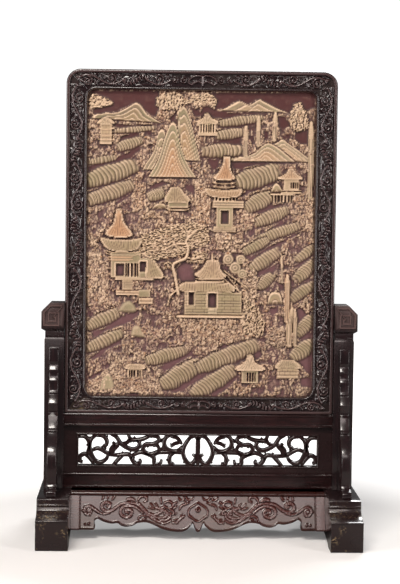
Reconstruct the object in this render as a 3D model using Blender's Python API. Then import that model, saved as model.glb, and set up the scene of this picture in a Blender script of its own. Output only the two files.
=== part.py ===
"""Table screen: a relief-carved stone panel in a carved wooden frame that rests in its stand.

X runs across the screen, -Y is the front and Z is up. The origin is on the floor, in the middle.
Sizes are metres. Carving keeps its proportions as shares of the field that it fills.
"""

import math

import bmesh
import bpy

# Clearances
GAP = 0.0003

# Framed panel
FRAME_WIDTH = 0.382
FRAME_HEIGHT = 0.4862
FRAME_DEPTH = 0.026
STILE_WIDTH = 0.030
TOP_RAIL_WIDTH = 0.0285
BOTTOM_RAIL_WIDTH = 0.025
FRAME_TOP_RADIUS = 0.020
FRAME_FOOT_RADIUS = 0.002
SIGHT_RADIUS = 0.012
OUTER_BEAD = 0.0050
INNER_BEAD = 0.0045
BEAD_ROUND = 0.0010
FIELD_SINK = 0.0035
FRAME_CARVING_HEIGHT = 0.0022
VINE_SWING = 0.32
VINE_CURL = 0.30
VINE_STROKE = 0.17
MOTIF_STROKE = 0.20
SLAB_THICKNESS = 0.010
SLAB_FACE_SETBACK = 0.009
SLAB_GROOVE_DEPTH = 0.006
TONGUE_THICKNESS = 0.012
TONGUE_DEPTH = 0.004

# Stone relief
RELIEF_HEIGHT = 0.0072
RELIEF_MARGIN = 0.0015
ROOT_LEVEL = -0.15
DOOR_LEVEL = 0.08
LEVEL_LIMIT = 1.5
BANK_LEAN = 0.35
BANK_GROOVE = 0.26
NEST_SHRINK = 0.34
NEST_RISE = 0.14
NEST_LIFT = 0.005

# Stone relief: how far each form narrows from its foot to its face
PLATE_TAPER = 0.93
HILL_TAPER = 0.90
ROOF_TAPER = 0.84
COLUMN_TAPER = 0.66
ROCK_TAPER = 0.50

# Stone relief: parts of a hall, as shares of its half width and its height
WALL_SHARE = 0.70
TERRACE_SHARE = 0.90
TERRACE_DROP = 0.10
DOOR_SHARE = 0.20
SKIRT_SPACING = 0.14
SKIRT_DROP = 0.055
ROOF_WAIST = 0.55
ROOF_WAIST_RISE = 0.35
ROOF_RIDGE = 0.16

# Stand: feet
FOOT_LENGTH = 0.260
FOOT_WIDTH = 0.0446
FOOT_HEIGHT = 0.067
FOOT_TOP_LENGTH = 0.194
FOOT_BASE_HEIGHT = 0.0425
FOOT_LIP_HEIGHT = 0.0095
FOOT_BEAD = 0.0025
FOOT_ARCH_LENGTH = 0.190
FOOT_ARCH_HEIGHT = 0.010
FOOT_EDGE_ROUND = 0.003

# Stand: posts
POST_WIDTH = 0.028
POST_DEPTH = 0.038
POST_HEIGHT = 0.216
POST_NECK_HEIGHT = 0.0115
POST_NECK_INSET = 0.0055
FINIAL_HEIGHT = 0.0365
FINIAL_OVERHANG = 0.0044
FINIAL_CHAMFER = 0.0125
FRET_LINE = 0.0014
FRET_DEPTH = 0.0008
FRET_MARGIN = 0.006
POST_TENON_WIDTH = 0.014
POST_TENON_LENGTH = 0.014
FOOT_SETBACK = 0.0048

# Stand: rails, openwork and aprons
RAIL_DEPTH = 0.030
LOWER_RAIL_HEIGHT = 0.0209
UPPER_RAIL_HEIGHT = 0.0180
RAIL_BEAD = 0.0028
RAIL_TENON_THICKNESS = 0.012
RAIL_TENON_LENGTH = 0.010
RAIL_TENON_MARGIN = 0.003
OPENWORK_HEIGHT = 0.0674
OPENWORK_FACE = 0.009
OPENWORK_THICKNESS = 0.015
OPENWORK_SIDE = 0.0207
OPENWORK_BOTTOM = 0.0105
OPENWORK_TOP = 0.0135
OPENWORK_TONGUE = 0.004
OPENWORK_LINE = 0.0030
SCROLL_WIDTH = 0.0048
APRON_LIP_HEIGHT = 0.007
APRON_LIP_REACH = 0.036
APRON_LIP_BACK = 0.013
APRON_THICKNESS = 0.010
APRON_FLOOR_GAP = 0.010
APRON_LEAN = 0.40
APRON_END_STRIP = 0.012
APRON_STRIP_RISE = 0.0016
APRON_CARVING_HEIGHT = 0.0016

# Spandrels
SPANDREL_HEIGHT = 0.2015
SPANDREL_THICKNESS = 0.013
SPANDREL_REACH = 0.069

# Smoothness
CORNER_STEPS = 3
ROCK_SIDES = 5
WIDE_BANK = 0.045
COVE_STEPS = 4
ARCH_STEPS = 6

# Colours
ROSEWOOD = (0.022, 0.010, 0.009)
CARVED_STONE = (0.36, 0.25, 0.17)

# Derived heights
LOWER_RAIL_BOTTOM = FOOT_HEIGHT + GAP
OPENWORK_BASE = LOWER_RAIL_BOTTOM + LOWER_RAIL_HEIGHT
UPPER_RAIL_BOTTOM = OPENWORK_BASE + OPENWORK_HEIGHT
FRAME_BASE = UPPER_RAIL_BOTTOM + UPPER_RAIL_HEIGHT + GAP
POST_SHOULDER = FOOT_HEIGHT + POST_HEIGHT
FINIAL_BASE = POST_SHOULDER + POST_NECK_HEIGHT
FINIAL_TOP = FINIAL_BASE + FINIAL_HEIGHT

# Derived places across and through
FRAME_FRONT = -FRAME_DEPTH / 2
FIELD_FACE = FRAME_FRONT + FIELD_SINK
SLAB_FACE = FRAME_FRONT + SLAB_FACE_SETBACK
SLAB_BACK = SLAB_FACE + SLAB_THICKNESS
SIGHT_HALF_WIDTH = FRAME_WIDTH / 2 - STILE_WIDTH
SIGHT_BOTTOM = FRAME_BASE + BOTTOM_RAIL_WIDTH
SIGHT_TOP = FRAME_BASE + FRAME_HEIGHT - TOP_RAIL_WIDTH
SIGHT_HEIGHT = SIGHT_TOP - SIGHT_BOTTOM
POST_INNER = FRAME_WIDTH / 2 + GAP
POST_OUTER = POST_INNER + POST_WIDTH
POST_CENTRE = (POST_INNER + POST_OUTER) / 2
FOOT_OUTER = POST_OUTER + FOOT_SETBACK
FOOT_INNER = FOOT_OUTER - FOOT_WIDTH


# Shapes

def shape(points, faces):
    """Return a closed mesh object made of points and faces, its faces pointing out."""
    mesh = bpy.data.meshes.new("shape")
    mesh.from_pydata(points, [], faces)
    form = bmesh.new()
    form.from_mesh(mesh)
    bmesh.ops.recalc_face_normals(form, faces=form.faces)
    form.to_mesh(mesh)
    form.free()
    item = bpy.data.objects.new("shape", mesh)
    bpy.context.scene.collection.objects.link(item)
    return item


def loft(loops, closed=False):
    """Skin loops of equal length, capped at both ends or joined into a ring."""
    size = len(loops[0])
    count = len(loops)
    faces = []
    for row in range(count if closed else count - 1):
        here = row * size
        there = (row + 1) % count * size
        for column in range(size):
            step = (column + 1) % size
            faces.append((here + column, here + step, there + step, there + column))
    if not closed:
        faces.append(tuple(range(size)))
        faces.append(tuple(range((count - 1) * size, count * size)))
    return shape([point for loop in loops for point in loop], faces)


def prism_y(outline, front, back):
    """Extrude an (x, z) outline from front to back."""
    return loft([[(x, y, z) for x, z in outline] for y in (front, back)])


def prism_x(outline, low, high):
    """Extrude a (y, z) outline across."""
    return loft([[(x, y, z) for y, z in outline] for x in (low, high)])


def block(low, high):
    """Return a box between two corners."""
    outline = ((low[0], low[2]), (high[0], low[2]), (high[0], high[2]), (low[0], high[2]))
    return prism_y(outline, low[1], high[1])


def combine(base, others, operation):
    """Apply one Boolean of base with all the others, and remove the others."""
    if not others:
        return base
    group = bpy.data.collections.new("operands")
    bpy.context.scene.collection.children.link(group)
    for other in others:
        group.objects.link(other)
        bpy.context.scene.collection.objects.unlink(other)
    modifier = base.modifiers.new(operation.title(), "BOOLEAN")
    modifier.operation = operation
    modifier.operand_type = "COLLECTION"
    modifier.collection = group
    modifier.solver = "EXACT"
    graph = bpy.context.evaluated_depsgraph_get()
    mesh = bpy.data.meshes.new_from_object(base.evaluated_get(graph))
    base.modifiers.clear()
    base.data = mesh
    for other in others:
        bpy.data.objects.remove(other)
    bpy.data.collections.remove(group)
    return base


def join(base, others):
    """Return base with the others added."""
    return combine(base, others, "UNION")


def cut(base, others):
    """Return base with the others taken away."""
    return combine(base, others, "DIFFERENCE")


def keep(base, envelope):
    """Return the part of base that lies inside the envelope."""
    return combine(base, [envelope], "INTERSECT")


def finish(item, name, colour, roughness):
    """Name a piece and give it its own material."""
    material = bpy.data.materials.new(name + "_finish")
    material.use_nodes = True
    shader = material.node_tree.nodes["Principled BSDF"]
    shader.inputs["Base Color"].default_value = (*colour, 1.0)
    shader.inputs["Roughness"].default_value = roughness
    shader.inputs["Metallic"].default_value = 0.0
    item.data.materials.clear()
    item.data.materials.append(material)
    item.name = name
    item.data.name = name
    return item


def finish_wood(item, name):
    """Finish a piece as polished dark rosewood."""
    return finish(item, name, ROSEWOOD, 0.32)


def separate(item):
    """Split an object into one object for each connected body."""
    form = bmesh.new()
    form.from_mesh(item.data)
    left = set(form.faces)
    bodies = []
    while left:
        edge_of_body = [left.pop()]
        body = list(edge_of_body)
        while edge_of_body:
            face = edge_of_body.pop()
            for edge in face.edges:
                for neighbour in edge.link_faces:
                    if neighbour in left:
                        left.remove(neighbour)
                        edge_of_body.append(neighbour)
                        body.append(neighbour)
        bodies.append(body)
    pieces = []
    for body in bodies:
        used = dict.fromkeys(vertex for face in body for vertex in face.verts)
        corners = {vertex: place for place, vertex in enumerate(used)}
        faces = [tuple(corners[v] for v in face.verts) for face in body]
        pieces.append(shape([tuple(v.co) for v in corners], faces))
    form.free()
    bpy.data.objects.remove(item)
    return pieces


def middle(item):
    """Return the middle of an object's box."""
    return [(min(v.co[a] for v in item.data.vertices) + max(v.co[a] for v in item.data.vertices)) / 2
            for a in range(3)]


# Outlines

def rounded_rectangle(left, right, bottom, top, foot_radius, head_radius):
    """Return the (x, z) points of a rectangle with rounded corners."""
    corners = (
        (right - foot_radius, bottom + foot_radius, foot_radius, -90),
        (right - head_radius, top - head_radius, head_radius, 0),
        (left + head_radius, top - head_radius, head_radius, 90),
        (left + foot_radius, bottom + foot_radius, foot_radius, 180),
    )
    points = []
    for x, z, radius, start in corners:
        for step in range(CORNER_STEPS + 1):
            angle = math.radians(start + 90 * step / CORNER_STEPS)
            points.append((x + radius * math.cos(angle), z + radius * math.sin(angle)))
    return points


def sides(points, half_widths):
    """Return the left and right edges of a line of (x, z) points, mitred at each bend."""
    left = []
    right = []
    last = len(points) - 1
    for place, (x, z) in enumerate(points):
        before = points[max(place - 1, 0)]
        after = points[min(place + 1, last)]
        into = unit(x - before[0], z - before[1]) if place else None
        out = unit(after[0] - x, after[1] - z) if place < last else None
        into = into or out
        out = out or into
        along = unit(into[0] + out[0], into[1] + out[1])
        reach = half_widths[place] / max(along[0] * out[0] + along[1] * out[1], 0.5)
        left.append((x - along[1] * reach, z + along[0] * reach))
        right.append((x + along[1] * reach, z - along[0] * reach))
    return left, right


def unit(x, z):
    """Return a direction of length one."""
    length = math.hypot(x, z) or 1.0
    return x / length, z / length


def taper(count, width, tip=0.4):
    """Return half widths for a stroke that thins towards both ends."""
    halves = []
    for place in range(count):
        share = place / (count - 1)
        halves.append(width / 2 * (tip + (1 - tip) * math.sin(math.pi * (0.15 + 0.7 * share))))
    return halves


def ribbon(points, width, front, back, tip=0.4):
    """Return a flat stroke of wood along a line of (x, z) points."""
    left, right = sides(points, taper(len(points), width, tip))
    return prism_y(left + right[::-1], front, back)


def ridge(points, width, face, height, tip=0.4):
    """Return a raised stroke with a crest, standing forward of a face at y."""
    left, right = sides(points, taper(len(points), width, tip))
    root = face + height * 0.4
    loops = []
    for (x, z), west, east in zip(points, left, right):
        loops.append([(west[0], root, west[1]), (x, face - height, z), (east[0], root, east[1])])
    return loft(loops)


def spiral(centre, radius, start, turns, steps, shrink=0.25):
    """Return (x, z) points that wind inwards from a radius, from a start angle in degrees."""
    points = []
    for step in range(steps + 1):
        share = step / steps
        angle = math.radians(start) + 2 * math.pi * turns * share
        reach = radius * (1 - (1 - shrink) * share)
        points.append((centre[0] + reach * math.cos(angle), centre[1] + reach * math.sin(angle)))
    return points


def mirrored(points):
    """Return points mirrored left to right."""
    return [(-x, z) for x, z in points]


# Framed panel

def frame_loop(tie, inset, y):
    """Return one loop of the frame's section, tied to its outer edge or its sight edge."""
    if tie == "outer":
        points = rounded_rectangle(
            -FRAME_WIDTH / 2 + inset, FRAME_WIDTH / 2 - inset,
            FRAME_BASE + inset, FRAME_BASE + FRAME_HEIGHT - inset,
            max(FRAME_FOOT_RADIUS - inset, FRAME_FOOT_RADIUS / 4), FRAME_TOP_RADIUS - inset)
    else:
        points = rounded_rectangle(
            -SIGHT_HALF_WIDTH - inset, SIGHT_HALF_WIDTH + inset,
            SIGHT_BOTTOM - inset, SIGHT_TOP + inset,
            SIGHT_RADIUS + inset, SIGHT_RADIUS + inset)
    return [(x, y, z) for x, z in points]


def frame_body():
    """Return the four members of the frame in one body, with beads, sunk field and slab groove."""
    back = FRAME_DEPTH / 2
    section = (
        ("outer", 0.0, back),
        ("outer", 0.0, FRAME_FRONT + BEAD_ROUND),
        ("outer", BEAD_ROUND, FRAME_FRONT),
        ("outer", OUTER_BEAD - BEAD_ROUND, FRAME_FRONT),
        ("outer", OUTER_BEAD, FIELD_FACE),
        ("sight", INNER_BEAD, FIELD_FACE),
        ("sight", INNER_BEAD - BEAD_ROUND, FRAME_FRONT + BEAD_ROUND / 2),
        ("sight", 0.0, FRAME_FRONT + 2 * BEAD_ROUND),
        ("sight", 0.0, SLAB_FACE - GAP),
        ("sight", SLAB_GROOVE_DEPTH, SLAB_FACE - GAP),
        ("sight", SLAB_GROOVE_DEPTH, SLAB_BACK + GAP),
        ("sight", 0.0, SLAB_BACK + GAP),
        ("sight", 0.0, back),
    )
    return loft([frame_loop(tie, inset, y) for tie, inset, y in section], closed=True)


def vine(length, width):
    """Return a running vine and its curls, along a field centred on zero.

    Each stroke is a list of (along, across) points; the first one is the stem.
    """
    period = width * 2.5
    count = max(2, round(length / period / 2)) * 2
    step = length / count
    stem = [(-length / 2, 0.0)]
    curls = []
    for place in range(count):
        side = 1 if place % 2 else -1
        start = -length / 2 + step * place
        for share in (0.30, 0.70):
            stem.append((start + step * share, side * width * VINE_SWING))
        curls.append(spiral((start + step / 2, -side * width * VINE_CURL / 2), width * VINE_CURL,
                            -90 if side > 0 else 90, side * 0.7, 3))
    stem.append((length / 2, 0.0))
    return [stem] + curls


def member_carving(length, width, place):
    """Return ridges for a vine; place turns (along, across) into (x, z)."""
    ridges = []
    for number, stroke in enumerate(vine(length, width)):
        height = FRAME_CARVING_HEIGHT * (0.85 if number else 1.0)
        points = [place(along, across) for along, across in stroke]
        ridges.append(ridge(points, width * VINE_STROKE, FIELD_FACE, height, 0.6 if number else 0.95))
    return ridges


def centre_motif(z, width):
    """Return the ridges of the winged motif in the middle of the top rail."""
    wing = [(width * x, z + width * y) for x, y in ((0.10, 0.16), (0.45, 0.24), (0.80, 0.08), (0.95, -0.22))]
    lower = [(width * x, z + width * y) for x, y in ((0.08, -0.24), (0.40, -0.06), (0.70, -0.20))]
    body = [(0.0, z - width * 0.34), (0.0, z), (0.0, z + width * 0.36)]
    strokes = (wing, mirrored(wing), lower, mirrored(lower), body)
    return [ridge(points, width * MOTIF_STROKE, FIELD_FACE, FRAME_CARVING_HEIGHT * (1 - 0.06 * number))
            for number, points in enumerate(strokes)]


def frame_carving():
    """Return all raised strokes of the frame."""
    ridges = []
    stile_field = STILE_WIDTH - OUTER_BEAD - INNER_BEAD
    stile_x = FRAME_WIDTH / 2 - OUTER_BEAD - stile_field / 2
    stile_z = (SIGHT_BOTTOM + SIGHT_TOP) / 2
    stile_length = SIGHT_HEIGHT - SIGHT_RADIUS
    for side in (-1, 1):
        ridges += member_carving(stile_length, stile_field,
                                 lambda along, across, s=side: (s * (stile_x + across), stile_z + along))
    top_field = TOP_RAIL_WIDTH - OUTER_BEAD - INNER_BEAD
    top_z = FRAME_BASE + FRAME_HEIGHT - OUTER_BEAD - top_field / 2
    bottom_field = BOTTOM_RAIL_WIDTH - OUTER_BEAD - INNER_BEAD
    bottom_z = FRAME_BASE + OUTER_BEAD + bottom_field / 2
    half_field = SIGHT_HALF_WIDTH - SIGHT_RADIUS / 2
    for level, field in ((top_z, top_field), (bottom_z, bottom_field)):
        free = field + GAP
        run = half_field - free
        for side in (-1, 1):
            ridges += member_carving(
                run, field,
                lambda along, across, s=side, z=level, f=free, r=run: (s * (f + r / 2 + along), z + across))
        ridges += centre_motif(level, field)
    return ridges


def mitre_cuts():
    """Return thin cutters along the four mitres of the frame."""
    outer_x = FRAME_WIDTH / 2
    cutters = []
    for side in (-1, 1):
        for outer_z, sight_z in ((FRAME_BASE, SIGHT_BOTTOM), (FRAME_BASE + FRAME_HEIGHT, SIGHT_TOP)):
            run = (side * (outer_x - SIGHT_HALF_WIDTH), outer_z - sight_z)
            ends = [(side * SIGHT_HALF_WIDTH + run[0] * share, sight_z + run[1] * share)
                    for share in (-1.0, 2.0)]
            left, right = sides(ends, (GAP / 2, GAP / 2))
            cutters.append(prism_y(left + right[::-1], -FRAME_DEPTH, FRAME_DEPTH))
    return cutters


def build_frame():
    """Build the four mitred members, with tongues on the stiles for the posts' grooves."""
    outer = FRAME_WIDTH / 2
    tongues = []
    for side in (-1, 1):
        inner, outer_edge = sorted((side * (outer - TONGUE_DEPTH), side * (outer + TONGUE_DEPTH)))
        tongues.append(block((inner, -TONGUE_THICKNESS / 2, FRAME_BASE + FRAME_FOOT_RADIUS * 2),
                             (outer_edge, TONGUE_THICKNESS / 2, POST_SHOULDER)))
    body = join(frame_body(), frame_carving() + tongues)
    body = cut(body, mitre_cuts())
    for piece in separate(body):
        x, _, z = middle(piece)
        if abs(x) > outer / 2:
            name = "frame_right_stile" if x > 0 else "frame_left_stile"
        else:
            name = "frame_top_rail" if z > FRAME_BASE + FRAME_HEIGHT / 2 else "frame_bottom_rail"
        finish_wood(piece, name)


# Stone panel

def on_panel(x, z):
    """Return a place on the panel from shares: x from -0.5 to 0.5, z from 0 to 1."""
    return x * 2 * SIGHT_HALF_WIDTH, SIGHT_BOTTOM + z * SIGHT_HEIGHT


def panel_points(points):
    """Return places on the panel from a list of shares."""
    return [on_panel(x, z) for x, z in points]


def relief_y(level):
    """Return the depth of a relief level, 0 on the ground and 1 at the highest."""
    return SLAB_FACE - RELIEF_HEIGHT * level


def tier(outline, level, top_scale):
    """Return a form with sloping sides: an outline on the ground that narrows to its face."""
    centre_x = sum(x for x, _ in outline) / len(outline)
    centre_z = sum(z for _, z in outline) / len(outline)
    loops = []
    for scale, depth in ((1.0, relief_y(ROOT_LEVEL)), (top_scale, relief_y(level))):
        loops.append([(centre_x + (x - centre_x) * scale, depth, centre_z + (z - centre_z) * scale)
                      for x, z in outline])
    return loft(loops)


def plate(outline, level):
    """Return a form with steep sides and a flat face, from an outline in panel shares."""
    return tier(panel_points(outline), level, PLATE_TAPER)


def hill(foot_left, foot_right, peak, level, nested, steps=3):
    """Return nested tiers of a bell-shaped hill between two feet and a peak, in panel shares."""
    forms = []
    flank = [step / steps for step in range(steps + 1)]
    for ring in range(nested):
        shrink = 1 - NEST_SHRINK * ring
        points = [foot_left]
        for foot, shares in ((foot_left, flank[1:]), (foot_right, flank[-2::-1])):
            for share in shares:
                rise = ((1 - math.cos(math.pi * share)) / 2) ** 1.4
                points.append((foot[0] + (peak[0] - foot[0]) * share, foot[1] + (peak[1] - foot[1]) * rise))
        base_x = (foot_left[0] + foot_right[0]) / 2
        base_z = (foot_left[1] + foot_right[1]) / 2
        lift = NEST_LIFT * ring
        nest = [(base_x + (x - base_x) * shrink, base_z + lift + (z - base_z) * shrink) for x, z in points]
        forms.append(tier(panel_points(nest), level + NEST_RISE * ring, HILL_TAPER))
    return forms


def bank(start, end, width, level, ribs):
    """Return a ribbed bank from start to end in panel shares, its width in panel-height shares."""
    x0, z0 = on_panel(*start)
    x1, z1 = on_panel(*end)
    along = unit(x1 - x0, z1 - z0)
    across = unit(-along[1] - BANK_LEAN * along[0], along[0] - BANK_LEAN * along[1])
    half = width * SIGHT_HEIGHT / 2
    stations = ribs * 2 + 1
    loops = []
    for station in range(stations):
        share = station / (stations - 1)
        swell = max(math.sin(math.pi * (0.10 + 0.80 * share)), 0.0) ** 0.5
        crest = level if station % 2 else level - BANK_GROOVE
        edge = 1.0 if station % 2 else 1.0 - BANK_GROOVE / 2
        x = x0 + (x1 - x0) * share
        z = z0 + (z1 - z0) * share
        loop = []
        shoulders = ((-0.45, crest), (0.60 * edge, crest * 0.85)) if width > WIDE_BANK else ((0.0, crest),)
        for reach, depth in ((-1.0, ROOT_LEVEL), *shoulders, (edge, ROOT_LEVEL)):
            loop.append((x + across[0] * half * swell * reach, relief_y(depth),
                         z + across[1] * half * swell * reach))
        loops.append(loop)
    return [loft(loops)]


def rock(x, z, width, height, level, turn):
    """Return a faceted boulder or clump of leaves, in panel shares."""
    centre = on_panel(x, z)
    outline = []
    for step in range(ROCK_SIDES):
        angle = 2 * math.pi * step / ROCK_SIDES + math.radians(turn)
        reach = 1.0 + 0.14 * math.sin(3.0 * angle + turn)
        outline.append((centre[0] + width * SIGHT_HALF_WIDTH * reach * math.cos(angle),
                        centre[1] + height * SIGHT_HEIGHT / 2 * reach * math.sin(angle)))
    return [tier(outline, level, ROCK_TAPER)]


def column(x, z_low, z_high, width, level):
    """Return an upright stone or fluted shaft with a pointed head, in panel shares."""
    half = width / 2
    outline = [(x - half, z_low), (x + half, z_low), (x + half * 0.8, z_high - half * 0.9),
               (x, z_high), (x - half * 0.8, z_high - half * 0.9)]
    return [tier(panel_points(outline), level, COLUMN_TAPER)]


def pavilion(x, z, width, height, level, roof_share, tiers):
    """Return a hall with a spreading, hollow-sided roof, and its doorway as a cutter.

    x and z are the middle of its base, in panel shares.
    """
    half = width / 2
    eaves = z + height * (1 - roof_share)
    waist = eaves + height * roof_share * ROOF_WAIST_RISE
    walls = block_outline(x, half * WALL_SHARE, z, eaves)
    terrace = block_outline(x, half * TERRACE_SHARE, z - height * TERRACE_DROP, z)
    forms = [plate(walls, level - 0.22), plate(terrace, level - 0.08)]
    for number in range(1, tiers):
        middle_z = eaves - number * height * SKIRT_SPACING
        low = middle_z - height * SKIRT_DROP
        high = middle_z + height * SKIRT_DROP
        skirt = [(x - half, low), (x + half, low), (x + half * TERRACE_SHARE, high),
                 (x - half * TERRACE_SHARE, high)]
        forms.append(plate(skirt, level - 0.05 - 0.05 * number))
    roof = [(x - half, eaves), (x + half, eaves), (x + half * ROOF_WAIST, waist),
            (x + half * ROOF_RIDGE, z + height), (x - half * ROOF_RIDGE, z + height),
            (x - half * ROOF_WAIST, waist)]
    forms.append(tier(panel_points(roof), level, ROOF_TAPER))
    door_low = z + height * TERRACE_DROP / 5
    door_high = z + height * (0.88 - roof_share - SKIRT_SPACING * (tiers - 1))
    door = block_outline(x, half * DOOR_SHARE, door_low, door_high)
    return forms, prism_y(panel_points(door), relief_y(LEVEL_LIMIT), relief_y(DOOR_LEVEL))


def block_outline(x, half, low, high):
    """Return an upright rectangle around x, in panel shares."""
    return [(x - half, low), (x + half, low), (x + half, high), (x - half, high)]


def stroke_relief(points, width, level):
    """Return a raised branch along panel shares, its width a share of the panel's width."""
    return [ridge(panel_points(points), width * 2 * SIGHT_HALF_WIDTH, SLAB_FACE, RELIEF_HEIGHT * level, 0.5)]


HILLS = (
    # foot left, foot right, peak, level, nested tiers
    ((-0.472, 0.885), (-0.171, 0.888), (-0.292, 0.958), 0.34, 2),
    ((0.056, 0.935), (0.245, 0.932), (0.164, 0.969), 0.28, 1),
    ((0.165, 0.930), (0.374, 0.932), (0.251, 0.975), 0.36, 1),
    ((0.200, 0.775), (0.400, 0.772), (0.293, 0.832), 0.46, 2),
    ((0.270, 0.780), (0.460, 0.770), (0.354, 0.845), 0.40, 1),
    ((-0.175, 0.745), (-0.010, 0.730), (-0.082, 0.951), 0.44, 2),
    ((-0.228, 0.725), (-0.035, 0.722), (-0.127, 0.894), 0.60, 2),
)

BANKS = (
    # start, end, width, level, ribs
    ((-0.363, 0.866), (-0.184, 0.881), 0.019, 0.34, 1),
    ((-0.367, 0.818), (-0.271, 0.838), 0.031, 0.44, 2),
    ((-0.493, 0.758), (-0.371, 0.779), 0.022, 0.34, 1),
    ((-0.497, 0.700), (-0.288, 0.757), 0.067, 0.56, 4),
    ((-0.479, 0.641), (-0.308, 0.691), 0.055, 0.48, 3),
    ((0.066, 0.892), (0.236, 0.912), 0.029, 0.38, 2),
    ((0.060, 0.853), (0.180, 0.867), 0.034, 0.44, 2),
    ((0.019, 0.802), (0.177, 0.807), 0.041, 0.50, 2),
    ((0.161, 0.709), (0.341, 0.745), 0.065, 0.58, 4),
    ((0.211, 0.624), (0.307, 0.661), 0.055, 0.54, 2),
    ((0.247, 0.572), (0.379, 0.616), 0.043, 0.50, 2),
    ((0.230, 0.510), (0.446, 0.567), 0.036, 0.44, 3),
    ((0.233, 0.423), (0.346, 0.481), 0.041, 0.50, 2),
    ((-0.495, 0.215), (-0.334, 0.279), 0.050, 0.46, 2),
    ((-0.490, 0.148), (-0.346, 0.206), 0.048, 0.50, 2),
    ((-0.235, 0.114), (-0.067, 0.152), 0.043, 0.50, 2),
    ((-0.145, 0.040), (0.004, 0.106), 0.067, 0.62, 3),
    ((-0.018, 0.093), (0.268, 0.174), 0.062, 0.56, 5),
    ((-0.008, 0.017), (0.159, 0.091), 0.053, 0.50, 3),
    ((0.402, 0.126), (0.490, 0.178), 0.055, 0.48, 2),
    ((0.436, 0.202), (0.490, 0.258), 0.048, 0.46, 2),
    ((0.428, 0.390), (0.490, 0.445), 0.048, 0.46, 2),
)

PAVILIONS = (
    # x, base z, width, height, level, roof share, tiers
    (0.112, 0.557, 0.136, 0.224, 0.86, 0.42, 3),
    (-0.338, 0.385, 0.150, 0.215, 0.84, 0.42, 2),
    (0.052, 0.284, 0.170, 0.176, 0.94, 0.46, 2),
    (-0.412, 0.815, 0.078, 0.085, 0.62, 0.36, 1),
    (0.026, 0.853, 0.078, 0.070, 0.60, 0.50, 1),
    (0.394, 0.678, 0.082, 0.066, 0.66, 0.44, 1),
    (0.228, 0.046, 0.108, 0.088, 0.72, 0.50, 1),
    (-0.288, 0.061, 0.080, 0.056, 0.58, 0.34, 1),
)

ROCKS = (
    # x, z, width, height, level, turn
    (-0.455, 0.965, 0.088, 0.031, 0.50, 10),
    (-0.150, 0.970, 0.069, 0.048, 0.50, 0),
    (0.012, 0.962, 0.075, 0.036, 0.52, 15),
    (0.422, 0.945, 0.062, 0.041, 0.46, 40),
    (-0.265, 0.655, 0.053, 0.084, 0.56, 20),
    (-0.465, 0.545, 0.062, 0.108, 0.44, 25),
    (-0.180, 0.560, 0.138, 0.072, 0.50, 0),
    (0.195, 0.560, 0.075, 0.084, 0.52, 50),
    (-0.460, 0.410, 0.062, 0.108, 0.46, 15),
    (-0.300, 0.330, 0.088, 0.048, 0.52, 20),
    (0.222, 0.400, 0.075, 0.060, 0.54, 5),
    (-0.120, 0.215, 0.150, 0.084, 0.62, 0),
    (0.060, 0.225, 0.150, 0.060, 0.66, 20),
    (0.230, 0.235, 0.112, 0.084, 0.60, 40),
    (-0.290, 0.215, 0.088, 0.084, 0.50, 10),
    (-0.300, 0.125, 0.112, 0.060, 0.48, 35),
    (-0.420, 0.060, 0.088, 0.084, 0.50, 15),
    (0.340, 0.060, 0.112, 0.072, 0.50, 30),
    (0.440, 0.600, 0.075, 0.108, 0.50, 20),
)

COLUMNS = (
    # x, low z, high z, width, level
    (0.193, 0.800, 0.885, 0.020, 0.50),
    (0.248, 0.830, 0.918, 0.020, 0.46),
    (0.320, 0.835, 0.930, 0.020, 0.50),
    (0.387, 0.255, 0.400, 0.024, 0.62),
    (0.408, 0.168, 0.292, 0.034, 0.68),
    (0.350, 0.385, 0.470, 0.012, 0.44),
)

PINE_TRUNK = (
    (-0.094, 0.360), (-0.118, 0.400), (-0.122, 0.440), (-0.085, 0.462), (-0.060, 0.490), (-0.052, 0.528),
)
PINE_BRANCHES = (
    ((-0.110, 0.455), (-0.160, 0.478), (-0.215, 0.485)),
    ((-0.075, 0.480), (-0.040, 0.470), (0.000, 0.480)),
    ((-0.120, 0.420), (-0.150, 0.410), (-0.170, 0.420)),
)
PINE_CLUMPS = (
    (-0.195, 0.500, 0.070, 0.034, 0.70, 0),
    (-0.110, 0.505, 0.064, 0.030, 0.74, 20),
    (-0.030, 0.515, 0.060, 0.034, 0.70, 40),
    (-0.150, 0.445, 0.056, 0.030, 0.66, 10),
)


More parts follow.
